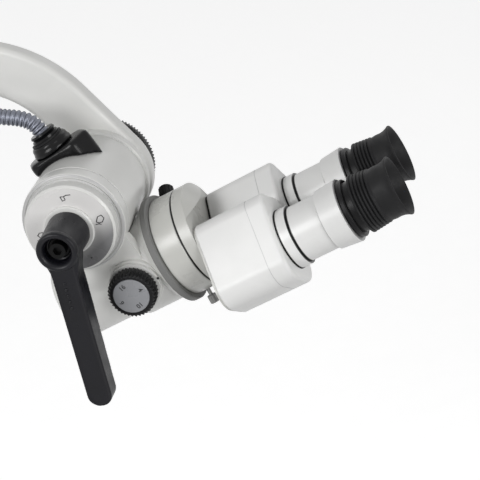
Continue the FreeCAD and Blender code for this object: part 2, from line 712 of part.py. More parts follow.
def make_tilt_drum():
    """The hollow drum, open to the flange, with the washer's recess in its near end."""
    wall = mm.drum_wall
    width = mm.drum_width
    rim = mm.drum_radius
    hub = mm.shaft_radius
    screw_wall = mm.arm_screw_reach + wall
    body = turned("tilt_drum", [
        (hub, ZERO), (rim, ZERO), (rim, width - mm.drum_chamfer), (rim - mm.drum_chamfer, width),
        (mm.washer_radius, width), (mm.washer_radius, width - mm.washer_seat),
        (hub, width - mm.washer_seat), (hub, width - mm.washer_seat - wall),
        (rim - wall, width - mm.washer_seat - wall), (rim - wall, screw_wall), (hub, screw_wall),
    ])
    drill(body, ZERO, mm.arm_screw_reach)
    body.Placement = drum_at(drum_back)


def make_tilt_shaft():
    """The fixed shaft from the wheel behind the arm to the lever."""
    start = wheel_back - mm.wheel_hub_proud
    neck = wheel_front
    thread = mm.shaft_thread_radius
    end = lever_front - mm.lever_bore_depth - mm.insert_radius
    turned("tilt_shaft", [
        (ZERO, start), (thread, start), (thread, neck), (mm.shaft_radius, neck),
        (mm.shaft_radius, collar_face), (thread, collar_face), (thread, end), (ZERO, end),
    ], drum_at(ZERO))


def make_friction_washer():
    """The washer that the lever squeezes between drum and cap."""
    inner = mm.shaft_radius + mm.face_gap
    turned("friction_washer", [
        (inner, ZERO), (mm.washer_radius - mm.face_gap, ZERO),
        (mm.washer_radius - mm.face_gap, mm.washer_thickness), (inner, mm.washer_thickness),
    ], drum_at(mm.drum_front - mm.washer_seat))


def make_tilt_wheel():
    """The knurled wheel behind the arm, with its metal hub."""
    rim = mm.wheel_radius
    width = mm.wheel_width
    body = turned("tilt_wheel", [
        (mm.wheel_hub_radius, mm.wheel_dish_depth), (mm.wheel_dish_radius, mm.wheel_dish_depth),
        (mm.wheel_dish_radius + mm.wheel_notch, ZERO), (rim - mm.wheel_notch, ZERO),
        (rim, mm.wheel_notch), (rim, width - mm.wheel_notch), (rim - mm.wheel_notch, width),
        (mm.wheel_hub_radius, width),
    ])
    knurl(body, rim, mm.wheel_notch, mm.wheel_notches, ZERO, width)
    body.Placement = drum_at(wheel_back)
    inner = mm.shaft_thread_radius + mm.running_gap
    proud = mm.wheel_hub_proud
    turned("wheel_hub", [
        (inner, ZERO), (mm.wheel_hub_radius - proud / 2, ZERO), (mm.wheel_hub_radius, proud / 2),
        (mm.wheel_hub_radius, width + proud), (inner, width + proud),
    ], drum_at(wheel_back - proud))


def make_lever():
    """The adjustable clamp lever: handle, threaded insert and screw."""
    body = new_body("clamp_lever")
    length = mm.lever_hub_length
    bore = mm.lever_bore_radius
    floor = length - mm.lever_bore_depth
    inner = mm.insert_radius
    handle_back = length - mm.lever_depth - 1
    tip = mm.lever_width / 2
    strip = draw_outline(new_sketch(body, "XY_Plane", handle_back), [
        (tip, ZERO), (tip, tip - mm.lever_reach), (-tip, tip - mm.lever_reach), (-tip, ZERO),
    ])
    pad(body, strip, mm.lever_depth)
    end = draw_circle(new_sketch(body, "XY_Plane", handle_back), ZERO, tip - mm.lever_reach, tip)
    pad(body, end, mm.lever_depth)
    levels = (handle_back.number, handle_back.number + mm.lever_depth.number)

    def long_rims(edge):
        box = edge.BoundBox
        flat = box.ZLength < 1e-4 and min(abs(box.ZMin - level) for level in levels) < 1e-4
        return flat and not (box.YMin > -1 and box.YLength < 1e-4)
    round_edges(body, mm.lever_edge, long_rims)
    revolve(body, [
        (ZERO, ZERO), (mm.lever_hub_back_radius, ZERO), (mm.lever_hub_back_radius, mm.lever_edge),
        (mm.lever_hub_radius, length - mm.lever_edge), (mm.lever_hub_radius - 1.2, length), (ZERO, length),
    ])
    groove(body, [
        (ZERO, ZERO), (inner + mm.running_gap, ZERO), (inner + mm.running_gap, floor), (bore, floor),
        (bore, length), (ZERO, length),
    ])
    first = -mm.lever_nib_start
    nib = draw_circle(new_sketch(body, "XY_Plane", handle_back + mm.lever_depth), -tip / 3, first,
                      mm.lever_nib_radius)
    nib_pad = pad(body, nib, mm.lever_nib_radius / 2)
    row = body.newObject("PartDesign::LinearPattern", "clamp_lever_row")
    row.Originals = [nib_pad]
    row.Direction = (origin_item(body, "Y_Axis"), [""])
    row.Reversed = True
    row.Occurrences = int(mm.lever_nib_count.number)
    bind(row, "Occurrences", mm.lever_nib_count)
    bind(row, "Length", mm.lever_nib_pitch * (mm.lever_nib_count - 1))
    settle(body, row)
    hang = Placement(Vector(), Rotation(Vector(0, 0, 1), mm.lever_hang.number))
    body.Placement = drum_at(lever_back) * hang
    thread = mm.shaft_thread_radius + mm.running_gap
    turned("lever_insert", [
        (thread, ZERO), (inner, ZERO), (inner, floor), (mm.lever_screw_radius, floor),
        (mm.lever_screw_radius, floor - inner + mm.running_gap), (thread, floor - inner + mm.running_gap),
    ], drum_at(lever_back))
    screw = turned("lever_screw", [
        (ZERO, ZERO), (mm.lever_screw_radius, ZERO), (mm.lever_screw_radius, inner - 1),
        (mm.lever_screw_head_radius, inner - 1),
        (mm.lever_screw_head_radius, inner - 1 + mm.lever_screw_head_height),
        (ZERO, inner - 1 + mm.lever_screw_head_height),
    ])
    flat = mm.lever_screw_socket
    point = flat * 2 / root(Size(3, "3"))
    top = inner - 1 + mm.lever_screw_head_height
    hexagon = draw_outline(new_sketch(screw, "XY_Plane", top), [
        (point, ZERO), (point / 2, flat), (-point / 2, flat),
        (-point, ZERO), (-point / 2, -flat), (point / 2, -flat),
    ])
    cut(screw, hexagon, mm.lever_screw_socket_depth, forwards=False)
    screw.Placement = drum_at(lever_back + floor - inner + 1)


def make_head_housing():
    """The casting of the head: tube, cheek, near cap with its boss, seats and light paths."""
    body = new_body("head_housing")
    rear = -mm.body_length
    step = -mm.body_step
    rim = mm.body_rear_radius
    wide = mm.body_front_radius
    revolve(body, [
        (ZERO, rear), (rim - mm.body_rear_chamfer, rear), (rim - mm.body_rear_chamfer / 3, rear + 1.2),
        (rim, rear + mm.body_rear_chamfer + 1), (rim, step - mm.body_step_length / 2),
        (wide, step + mm.body_step_length / 2), (wide, -mm.body_flare_length),
        (mm.body_flare_radius, ZERO), (ZERO, ZERO),
    ])
    add_cheek(body)
    up = mm.axis_up
    back = -mm.axis_back
    cap = draw_circle(new_sketch(body, "YZ_Plane", -cap_back), up, back, mm.drum_radius)
    pad(body, cap, mm.cap_thickness, backwards=True)
    round_edges(body, mm.cap_edge, circle_at(-cap_face, mm.drum_radius))
    boss = draw_circle(new_sketch(body, "YZ_Plane", -cap_face), up, back, mm.cap_boss_radius)
    pad(body, boss, mm.cap_boss_height, backwards=True)
    round_edges(body, mm.cap_boss_chamfer, circle_at(-boss_face, mm.cap_boss_radius), "Chamfer")
    line = new_sketch(body, "YZ_Plane", -cap_face)
    draw_circle(line, up, back, mm.cap_line_radius)
    draw_circle(line, up, back, mm.cap_line_radius - mm.cap_line_width)
    cut(body, line, mm.cap_line_width)
    for offset, radius, depth in (
            (-boss_face, mm.face_disc_radius, mm.face_disc_seat),
            (-boss_face, mm.bush_radius, mm.cap_boss_height + mm.cap_thickness)):
        cut(body, draw_circle(new_sketch(body, "YZ_Plane", offset), up, back, radius), depth)
    saddle = draw_circle(new_sketch(body, "YZ_Plane", -cap_back), up, back, mm.drum_radius + mm.saddle_gap)
    cut(body, saddle, mm.body_front_radius * 2 + mm.drum_radius)
    add_knob_bosses(body)
    add_optics_seats(body)
    body.Placement = head_at(ZERO)


def add_cheek(body):
    """Loft the cheek from the body's near side up to the cap."""
    back = -mm.axis_back
    foot = draw_outline(new_sketch(body, "XZ_Plane", -mm.web_foot), [
        (-mm.web_foot_front, back - mm.web_foot_rear), (-mm.web_foot_back, back - mm.web_foot_rear),
        (-mm.web_foot_back, back + mm.web_foot_fore), (-mm.web_foot_front, back + mm.web_foot_fore),
    ])
    head = draw_outline(new_sketch(body, "XZ_Plane", -mm.web_top), [
        (-mm.web_top_front, back - mm.web_top_half_width), (-cap_back, back - mm.web_top_half_width),
        (-cap_back, back + mm.web_top_half_width), (-mm.web_top_front, back + mm.web_top_half_width),
    ])
    loft = body.newObject("PartDesign::AdditiveLoft", "head_housing_cheek")
    loft.Profile = foot
    loft.Sections = [head]
    loft.Ruled = True
    settle(body, loft)


def add_knob_bosses(body):
    """Raise a round boss under each magnification knob."""
    start = mm.changer_half_width + mm.changer_gap
    height = mm.knob_boss_face - start
    place = (ZERO, -mm.changer_back, mm.knob_boss_radius)
    near = draw_circle(new_sketch(body, "YZ_Plane", -start), *place)
    pad(body, near, height, backwards=True)
    far = draw_circle(new_sketch(body, "YZ_Plane", start), *place)
    pad(body, far, height)


def add_optics_seats(body):
    """Cut the changer's cavity and shaft bore, the light paths and both end seats."""
    rear = -mm.body_length
    half = mm.changer_half_width + mm.changer_gap
    cavity = draw_circle(new_sketch(body, "YZ_Plane", -half), ZERO, -mm.changer_back,
                         mm.changer_radius + mm.changer_gap)
    cut(body, cavity, half * 2)
    bore = draw_circle(new_sketch(body, "YZ_Plane", -mm.knob_boss_face), ZERO, -mm.changer_back,
                       mm.changer_shaft_radius + mm.running_gap)
    cut(body, bore, mm.knob_boss_face * 2)
    seat = mm.objective_radius
    groove(body, [(ZERO, rear), (seat, rear), (seat, rear + mm.objective_depth),
                  (ZERO, rear + mm.objective_depth)])
    paths = new_sketch(body, "XY_Plane", rear)
    for side in (-1, 1):
        draw_circle(paths, mm.beam_offset * side, ZERO, mm.beam_radius)
    cut(body, paths, mm.body_length)
    front = mm.spigot_mount_radius
    groove(body, [(ZERO, -mm.spigot_mount_length - mm.face_gap), (front, -mm.spigot_mount_length - mm.face_gap),
                  (front, ZERO), (ZERO, ZERO)])


def make_head_trim():
    """Bush, face disc, hub collar, objective and the rings under the knobs."""
    inner = mm.shaft_radius + mm.running_gap
    bush_face = boss_face - mm.face_disc_seat
    turned("tilt_bush", [
        (inner, cap_back), (mm.bush_radius, cap_back), (mm.bush_radius, bush_face), (inner, bush_face),
    ], drum_at(ZERO))
    turned("face_disc", [
        (inner, ZERO), (mm.face_disc_radius, ZERO), (mm.face_disc_radius, mm.face_disc_thickness),
        (inner, mm.face_disc_thickness),
    ], drum_at(bush_face))
    edge = mm.hub_collar_radius - 0.8
    turned("hub_collar", [
        (inner, ZERO), (mm.hub_collar_radius, ZERO), (mm.hub_collar_radius, mm.hub_collar_width - 0.8),
        (edge, mm.hub_collar_width), (inner, mm.hub_collar_width),
    ], drum_at(disc_face))
    rear = -mm.body_length
    seat = mm.objective_radius
    mouth = seat - mm.objective_wall
    lens = mouth - mm.objective_ledge
    inner = lens - mm.objective_wall
    shelf = mm.objective_lens_inset + mm.objective_lens_edge
    turned("objective_cell", [
        (mouth, ZERO), (seat, ZERO), (seat, mm.objective_depth), (inner, mm.objective_depth),
        (inner, shelf), (lens, shelf), (lens, mm.objective_mouth), (mouth, mm.objective_mouth),
    ], head_at(rear))
    turned("objective_lens", lens_profile(lens, mm.objective_lens_thickness, mm.objective_lens_edge),
           head_at(rear + mm.objective_lens_inset))
    members = []
    for side in (-1, 1):
        ring = mm.knob_ring_radius
        waist = ring - mm.knob_ring_waist
        width = mm.knob_ring_width
        bore = mm.changer_shaft_radius + mm.running_gap
        body = turned(f"knob_base_ring_{'near' if side < 0 else 'far'}", [
            (bore, ZERO), (waist, ZERO), (waist, width / 3), (ring, width / 3), (ring, width), (bore, width),
        ])
        body.Placement = knob_at(side, mm.knob_boss_face)
        members.append(body)
    group("knob_base_rings", members)


def lens_profile(radius, thickness, edge):
    """Return the outline of a lens, flat behind and crowned in front."""
    crown = thickness - edge
    return [(ZERO, ZERO), (radius, ZERO), (radius, edge), (radius * 0.86, edge),
            (radius * 0.68, edge + crown * 0.4), (radius * 0.4, edge + crown * 0.8),
            (radius * 0.15, edge + crown * 0.98), (ZERO, thickness)]


def knob_at(side, station):
    """Return a placement on the changer's axis with Z pointing outwards, near side -1 or far side 1."""
    outward = FAR * side
    place = head_at(-mm.changer_back, station * side)
    return Placement(place.Base, Rotation(outward.cross(RISE), RISE, outward, "ZYX"))


def make_changer():
    """The magnification changer: turret, shaft, lenses, knobs and numbered discs."""
    half = mm.changer_half_width
    shaft = mm.changer_shaft_radius
    turret = turned("changer_turret", [
        (shaft, -half), (mm.changer_radius, -half), (mm.changer_radius, half), (shaft, half),
    ])
    tunnels = new_sketch(turret, "XZ_Plane", -mm.changer_radius)
    for side in (-1, 1):
        draw_circle(tunnels, mm.changer_radius / 2 + 1.5, mm.beam_offset * side, mm.changer_tunnel_radius)
    cut(turret, tunnels, mm.changer_radius * 2)
    turret.Placement = knob_at(1, ZERO)
    reach = mm.knob_boss_face + mm.knob_ring_width + mm.knob_width - mm.scale_seat
    turned("changer_shaft", [(ZERO, -reach), (shaft, -reach), (shaft, reach), (ZERO, reach)],
           knob_at(1, ZERO))
    lenses = []
    for side in (-1, 1):
        for end in (-1, 1):
            lens = turned(f"changer_lens_{len(lenses) + 1}", lens_profile(
                mm.changer_tunnel_radius, Size.of(2.4), Size.of(1)))
            turn = Rotation(Vector(1, 0, 0), -90 * end)
            spot = Vector(mm.changer_radius.number / 2 + 1.5, end * 8, mm.beam_offset.number * side)
            lens.Placement = knob_at(1, ZERO) * Placement(spot, turn)
            lenses.append(lens)
    group("changer_lenses", lenses)
    knobs, scales = [], []
    start = mm.knob_boss_face + mm.knob_ring_width + mm.face_gap
    rim = mm.knob_radius
    width = mm.knob_width - mm.face_gap
    edge = mm.knob_chamfer
    for side in (-1, 1):
        word = "near" if side < 0 else "far"
        knob = turned(f"changer_knob_{word}", [
            (shaft, ZERO), (rim - edge, ZERO), (rim, edge), (rim, width - edge), (rim - edge, width),
            (mm.scale_radius, width), (mm.scale_radius, width - mm.scale_seat), (shaft, width - mm.scale_seat),
        ])
        knurl(knob, rim, mm.knob_notch, mm.knob_notches, ZERO, width)
        knob.Placement = knob_at(side, start)
        knobs.append(knob)
        disc = mm.scale_radius
        depth = mm.scale_thickness
        scale = turned(f"changer_scale_{word}", [
            (ZERO, ZERO), (disc, ZERO), (disc, depth - 0.4), (disc - 0.4, depth), (ZERO, depth),
        ])
        scale.Placement = knob_at(side, start + width - mm.scale_seat)
        scales.append(scale)
    group("changer_knobs", knobs)
    group("changer_scales", scales)


def make_clamp_ring():
    """The split ring with its lug, and the screw and knob that close it."""
    rim = mm.clamp_radius
    edge = mm.clamp_chamfer
    width = mm.clamp_width
    inner = mm.spigot_mount_radius
    body = turned("clamp_ring", [
        (inner, ZERO), (rim, ZERO), (rim, width - edge), (rim - edge, width), (inner, width),
    ])
    lug = draw_circle(new_sketch(body, "YZ_Plane", inner + 4), ZERO, width / 2, mm.clamp_lug_radius - 1)
    pad(body, lug, mm.clamp_lug_reach - inner - 4)
    split = draw_outline(new_sketch(body, "XY_Plane", ZERO), [
        (inner - 1, -9), (rim + 1, -9), (rim + 1, -9 + mm.clamp_split), (inner - 1, -9 + mm.clamp_split),
    ])
    cut(body, split, width)
    screw = draw_circle(new_sketch(body, "YZ_Plane", inner), ZERO, width / 2,
                        mm.clamp_screw_radius + mm.running_gap)
    cut(body, screw, mm.clamp_lug_reach)
    body.Placement = head_at(ZERO) * Placement(Vector(), Rotation(Vector(0, 0, 1), 90 - mm.clamp_angle.number))
    middle = width / 2
    stem = mm.clamp_screw_radius
    seat = mm.clamp_lug_reach + mm.face_gap
    turned("clamp_screw", [
        (ZERO, mm.clamp_screw_root), (stem, mm.clamp_screw_root), (stem, seat + mm.clamp_knob_height / 2),
        (ZERO, seat + mm.clamp_knob_height / 2),
    ], radial_at(middle, mm.clamp_angle))
    grip = mm.clamp_knob_radius
    tall = mm.clamp_knob_height
    knob = turned("clamp_screw_knob", [
        (stem, ZERO), (grip * 0.6, ZERO), (grip, tall * 0.3), (grip, tall - 1), (grip - 1, tall),
        (ZERO, tall), (ZERO, tall / 2), (stem, tall / 2),
    ])
    knurl(knob, grip, grip / 8, mm.clamp_knob_notches, tall * 0.3, tall)
    place = radial_at(middle, mm.clamp_angle)
    knob.Placement = place * Placement(Vector(0, 0, seat.number), Rotation())


def make_barrel():
    """The barrel with its rear spigot, light paths, lenses and thumbscrew."""
    start = mm.clamp_width
    rim = mm.barrel_radius
    edge = mm.barrel_chamfer
    length = mm.barrel_length
    spigot = mm.spigot_mount_radius
    body = turned("microscope_barrel", [
        (ZERO, -mm.spigot_mount_length - start), (spigot, -mm.spigot_mount_length - start), (spigot, ZERO),
        (rim - edge, ZERO), (rim, edge), (rim, length - edge), (rim - edge, length),
        (spigot + mm.running_gap, length), (spigot + mm.running_gap, length - mm.base_spigot_length),
        (ZERO, length - mm.base_spigot_length),
    ])
    # The body is drawn with the thumbscrew straight under it, then turned
    paths = new_sketch(body, "XY_Plane", -mm.spigot_mount_length - start)
    for side in (-1, 1):
        reach = mm.beam_offset * side
        draw_circle(paths, reach * cosine(mm.thumb_angle), reach * sine(mm.thumb_angle), mm.beam_radius)
    cut(body, paths, length + mm.spigot_mount_length + start)
    hole = draw_circle(new_sketch(body, "XZ_Plane", mm.thumb_root), ZERO, mm.thumb_place,
                       mm.thumb_stem_radius + mm.running_gap)
    cut(body, hole, mm.barrel_radius)
    body.Placement = head_at(start) * Placement(Vector(), Rotation(Vector(0, 0, 1), -mm.thumb_angle.number))
    lenses = []
    for side in (-1, 1):
        lens = turned(f"tube_lens_{'near' if side < 0 else 'far'}", lens_profile(
            mm.beam_radius, mm.tube_lens_thickness, mm.tube_lens_thickness / 2))
        lens.Placement = head_at(start - mm.tube_lens_thickness, mm.beam_offset * side)
        lenses.append(lens)
    group("tube_lenses", lenses)


def make_thumbscrew():
    """The knurled screw that holds the binocular base in the barrel."""
    stem = mm.thumb_stem_radius
    rim = mm.thumb_head_radius
    neck = mm.thumb_neck
    end = neck + mm.thumb_head_length
    body = turned("barrel_thumbscrew", [
        (ZERO, mm.thumb_root), (stem, mm.thumb_root), (stem, neck), (rim - 0.5, neck), (rim, neck + 0.5),
        (rim, end - 0.5), (rim - 0.5, end), (ZERO, end),
    ])
    knurl(body, rim, rim / 8, mm.thumb_notches, neck, mm.thumb_head_length)
    body.Placement = radial_at(mm.clamp_width + mm.thumb_place, mm.thumb_angle + 180)


def make_binocular_base():
    """The swivelling base: dark ring, flange, spigot, cone and pivot bores."""
    seam = mm.clamp_width + mm.barrel_length
    ring = mm.swivel_ring_radius
    spigot = mm.spigot_mount_radius
    turned("swivel_ring", [
        (spigot, ZERO), (ring, ZERO), (ring, mm.swivel_ring_width), (spigot, mm.swivel_ring_width),
    ], head_at(seam + mm.swivel_gap))
    body = new_body("binocular_base")
    width = mm.base_width
    gap = mm.swivel_ring_width + mm.swivel_gap
    sunk = mm.base_spigot_length + gap - mm.face_gap
    rim = mm.base_radius
    revolve(body, [
        (ZERO, -sunk), (spigot, -sunk), (spigot, ZERO), (rim - 0.6, ZERO), (rim, 0.6 + ZERO),
        (rim, width), (mm.base_cone_radius, width + mm.base_cone_height), (ZERO, width + mm.base_cone_height),
    ])
    clear = draw_outline(new_sketch(body, "XY_Plane", width), [
        (-rim, -rim), (rim, -rim), (rim, mm.base_cone_floor), (-rim, mm.base_cone_floor),
    ])
    cut(body, clear, mm.base_cone_height)
    bores = new_sketch(body, "XY_Plane", width)
    paths = new_sketch(body, "XY_Plane", width)
    for side in (-1, 1):
        draw_circle(bores, mm.swing_offset * side, -mm.swing_drop, mm.pivot_radius + mm.running_gap)
        draw_circle(paths, mm.swing_offset * side, -mm.swing_drop, mm.pivot_bore_radius)
    cut(body, bores, mm.pivot_length + mm.face_gap, forwards=False)
    cut(body, paths, width + sunk, forwards=False)
    body.Placement = head_at(seam + gap)
    return seam + gap + width


def box_outline(side, inset=ZERO):
    """Return the cross-section of a prism box, its inner side turned to the middle plane."""
    inner = -mm.box_inner_width + inset
    waist = -mm.box_width + inset
    outer = mm.box_width - inset
    start = mm.box_inner_end + inset
    end = mm.box_outer_end - inset
    shape = [(start, outer), (start, inner), (mm.box_waist, waist), (end, waist), (end, outer)]
    return [(Size.of(a), Size.of(b) * side) for a, b in shape]


def round_box(body, inset=ZERO):
    """Round the long corners of a box, the lower ones wide and the top ones narrow."""
    low = mm.box_outer_end - inset
    top = mm.box_inner_end + inset

    def corner(place):
        return lambda edge: upright(edge) and abs(edge.Vertexes[0].X - place.number) < 1e-3
    round_edges(body, mm.box_corner - inset, corner(low))
    round_edges(body, mm.box_top_corner - inset, corner(top))


def make_tube(side, rear):
    """One swinging half of the binocular tube, from its pivot to its eyecup."""
    word = "near" if side < 0 else "far"
    reach = mm.swing_radius
    plate_rear = rear + mm.face_gap
    box_rear = plate_rear + mm.plate_thickness
    plate = new_body(f"{word}_swing_plate")
    pad(plate, draw_outline(new_sketch(plate, "XY_Plane"), box_outline(side, mm.plate_inset)),
        mm.plate_thickness)
    round_box(plate, mm.plate_inset)
    pivot = draw_circle(new_sketch(plate, "XY_Plane"), ZERO, ZERO, mm.pivot_radius)
    pad(plate, pivot, mm.pivot_length + mm.face_gap, backwards=True)
    path = draw_circle(new_sketch(plate, "XY_Plane", -mm.pivot_length - mm.face_gap), ZERO, ZERO,
                       mm.pivot_bore_radius)
    cut(plate, path, mm.pivot_length + mm.face_gap + mm.plate_thickness)
    plate.Placement = tube_at(side, plate_rear)

    box = new_body(f"{word}_prism_housing")
    depth = mm.box_seam
    pad(box, draw_outline(new_sketch(box, "XY_Plane"), box_outline(side)), depth)
    round_box(box)
    round_edges(box, mm.box_rear_edge, flat_at(ZERO), "Chamfer")
    wall = mm.box_wall
    hollow = new_sketch(box, "XY_Plane", wall)
    draw_outline(hollow, box_outline(side, mm.box_wall + 2))
    cut(box, hollow, depth - wall)
    cut(box, draw_circle(new_sketch(box, "XY_Plane"), ZERO, ZERO, mm.prism_width / 2), wall)
    box.Placement = tube_at(side, box_rear)

    cover = new_body(f"{word}_prism_cover")
    cover_depth = mm.box_length - depth - mm.seam_gap
    cover_rear = box_rear + depth + mm.seam_gap
    pad(cover, draw_outline(new_sketch(cover, "XY_Plane"), box_outline(side)), cover_depth)
    round_box(cover)
    round_edges(cover, mm.box_edge, flat_at(cover_depth))
    lip = draw_outline(new_sketch(cover, "XY_Plane"), box_outline(side, mm.box_wall + 2.2))
    pad(cover, lip, mm.seam_gap + 2, backwards=True)
    mouth = draw_circle(new_sketch(cover, "XY_Plane", -mm.seam_gap - 2), reach, ZERO, mm.tube_bore_radius)
    cut(cover, mouth, cover_depth + mm.seam_gap + 2)
    cover.Placement = tube_at(side, cover_rear)

    prism = new_body(f"{word}_prism")
    half = mm.prism_face / 2
    glass = draw_outline(new_sketch(prism, "XZ_Plane", -mm.prism_width / 2), [
        (-half, ZERO), (half, ZERO), (reach + half, mm.prism_length), (reach - half, mm.prism_length),
    ])
    pad(prism, glass, mm.prism_width)
    prism.Placement = tube_at(side, box_rear + wall)

    front = cover_rear + cover_depth
    bore = mm.tube_bore_radius
    width = mm.seal_width
    rear_seal = turned(f"{word}_rear_seal", [
        (bore, ZERO), (mm.seal_radius, ZERO), (mm.seal_radius, width), (bore, width),
    ], tube_at(side, front, reach))
    rim = mm.collar_radius
    turned(f"{word}_tube_collar", [
        (bore, ZERO), (rim, ZERO), (rim, mm.collar_width - 0.5), (rim - 0.5, mm.collar_width),
        (bore, mm.collar_width),
    ], tube_at(side, front + width, reach))
    groove_rear = front + width + mm.collar_width
    front_seal = turned(f"{word}_front_seal", [
        (bore, ZERO), (mm.groove_radius, ZERO), (mm.groove_radius, width), (bore, width),
    ], tube_at(side, groove_rear, reach))
    group(f"{word}_tube_seals", [rear_seal, front_seal])
    tube_rear = groove_rear + width
    step = mm.tube_step
    turned(f"{word}_eyepiece_tube", [
        (bore, ZERO), (mm.tube_radius, ZERO), (mm.tube_radius, step - mm.tube_flute),
        (mm.tube_radius - mm.tube_flute, step - mm.tube_flute), (mm.tube_radius - mm.tube_flute, step),
        (mm.tube_step_radius, step), (mm.tube_end_radius, mm.tube_length - 0.6),
        (mm.tube_end_radius - 0.6, mm.tube_length), (bore, mm.tube_length),
    ], tube_at(side, tube_rear, reach))
    make_eyepiece(word, side, tube_rear + mm.tube_length)


def make_eyepiece(word, side, mouth):
    """One eyepiece with its lens and its ribbed rubber cup."""
    reach = mm.swing_radius
    sleeve = mm.tube_bore_radius - mm.running_gap
    bore = mm.sleeve_bore_radius
    rear = -mm.sleeve_length
    start = mm.face_gap
    flange_end = start + mm.ocular_flange_width
    neck_end = flange_end + mm.ocular_neck_width
    core_end = neck_end + mm.ocular_core_length
    lens_rear = core_end - mm.eye_lens_depth - mm.eye_lens_thickness
    lens = bore + 0.5
    rim = mm.ocular_flange_radius
    turned(f"{word}_eyepiece", [
        (bore - 1, rear), (sleeve, rear), (sleeve, start), (rim - 0.6, start), (rim, start + 0.6),
        (rim, flange_end - 0.8), (rim - 0.8, flange_end), (mm.ocular_neck_radius, flange_end),
        (mm.ocular_neck_radius, neck_end), (mm.ocular_core_radius, neck_end), (mm.ocular_core_radius, core_end),
        (lens, core_end), (lens, lens_rear), (bore - 1, lens_rear),
    ], tube_at(side, mouth, reach))
    turned(f"{word}_eye_lens", lens_profile(lens, mm.eye_lens_thickness, mm.eye_lens_thickness - 2),
           tube_at(side, mouth + lens_rear, reach))
    core = mm.ocular_core_radius
    bulge = mm.cup_bulge_radius
    pitch = mm.cup_rib_pitch
    outline = [(core, ZERO), (bulge - mm.cup_rib * 2, ZERO)]
    for index in range(int(mm.cup_rib_count.number)):
        crest = bulge - index * 0.25
        foot = pitch * index + 0.3
        outline += [
            (crest - mm.cup_rib, foot), (crest, foot + pitch * 0.25),
            (crest, foot + pitch * 0.6), (crest - mm.cup_rib, foot + pitch * 0.85),
        ]
    ribs_end = pitch * mm.cup_rib_count + 1.2
    length = mm.cup_length
    lip = mm.cup_lip
    rim = mm.cup_rim_radius
    outline += [
        (mm.cup_waist_radius, ribs_end), (rim - 0.3, length - lip), (rim, length - lip / 2),
        (rim - 0.4, length), (rim - lip, length), (rim - lip * 2, length - lip),
        (bore + 1, mm.ocular_core_length + 1), (bore + 1, mm.ocular_core_length),
        (core, mm.ocular_core_length),
    ]
    turned(f"{word}_eyecup", outline, tube_at(side, mouth + neck_end, reach))


def make_gland():
    """The black saddle gland on the drum, with its turret, seal and nut."""
    body = new_body("gland_base")
    near = mm.gland_half_width
    slant = mm.gland_slant
    left = -mm.gland_left
    right = mm.gland_right
    plan = draw_outline(new_sketch(body, "XY_Plane", mm.gland_floor), [
        (left, ZERO), (left + slant * 0.7, near), (right - slant, near), (right, ZERO),
        (right - slant, -near), (left + slant * 0.7, -near),
    ])
    pad(body, plan, mm.gland_top - mm.gland_floor)
    round_edges(body, mm.gland_edge * 2, upright)
    round_edges(body, mm.gland_edge, flat_at(mm.gland_top))
    saddle = draw_circle(new_sketch(body, "XZ_Plane", -near * 2), ZERO, ZERO, mm.drum_radius)
    cut(body, saddle, near * 4)
    path = draw_circle(new_sketch(body, "XY_Plane", mm.gland_floor), mm.turret_place, ZERO, mm.conduit_radius)
    cut(body, path, mm.gland_top)
    body.Placement = gland_at(ZERO, ZERO)
    rim = mm.turret_radius
    tall = mm.turret_height
    bore = mm.conduit_radius
    turned("gland_turret", [
        (bore, ZERO), (rim, ZERO), (rim, tall * 0.35), (rim - 1, tall * 0.45), (rim - 1, tall * 0.75),
        (rim - 2.6, tall), (bore, tall),
    ], gland_at(mm.turret_place, mm.gland_top))
    seal = mm.gland_seal_radius
    turned("gland_seal", [
        (bore, ZERO), (seal, ZERO), (seal, mm.gland_seal_height), (bore, mm.gland_seal_height),
    ], gland_at(mm.turret_place, mm.gland_top + tall))
    nut = mm.gland_nut_radius
    nut_tall = mm.gland_nut_height
    turned("gland_nut", [
        (bore, ZERO), (nut, ZERO), (nut, nut_tall * 0.35), (nut - 1.5, nut_tall * 0.5),
        (nut - 0.4, nut_tall * 0.75), (nut - 1.2, nut_tall), (bore, nut_tall),
    ], gland_at(mm.turret_place, mm.gland_top + tall + mm.gland_seal_height))


def gland_at(across, height):
    """Return a placement on the drum whose Z axis is the gland's, with X along its length."""
    turn = math.radians(mm.gland_direction.number)
    outward = Vector(math.cos(turn), 0, math.sin(turn))
    length = Vector(math.sin(turn), 0, -math.cos(turn))
    place = tilt_centre + Vector(0, -mm.gland_middle.number, 0)
    place += length * Size.of(across).number + outward * Size.of(height).number
    return Placement(place, Rotation(length, outward.cross(length), outward, "ZXY"))


def conduit_route():
    """Return the points of the conduit, from the gland to its ferrule on the arm."""
    exit_height = mm.gland_top + mm.turret_height + mm.gland_seal_height
    start = gland_at(mm.turret_place, exit_height)
    out = start.Rotation.multVec(Vector(0, 0, 1))
    face = -(arm_front + mm.arm_gland_height + mm.ferrule_length).number
    reach = (mm.arm_gland_place - mm.arm_reach).number
    return [
        start.Base,
        start.Base + out * 13,
        tilt_centre + Vector(reach * 0.467, 6, 63.5),
        tilt_centre + Vector(reach * 0.6, 6.5, 66),
        tilt_centre + Vector(reach * 0.739, 7, 69.5),
        tilt_centre + Vector(reach * 0.863, 9.3, 73.5),
        tilt_centre + Vector(reach * 0.955, 14.6, 78),
        tilt_centre + Vector(reach, face - 9, 81),
        tilt_centre + Vector(reach, face, 81),
    ]


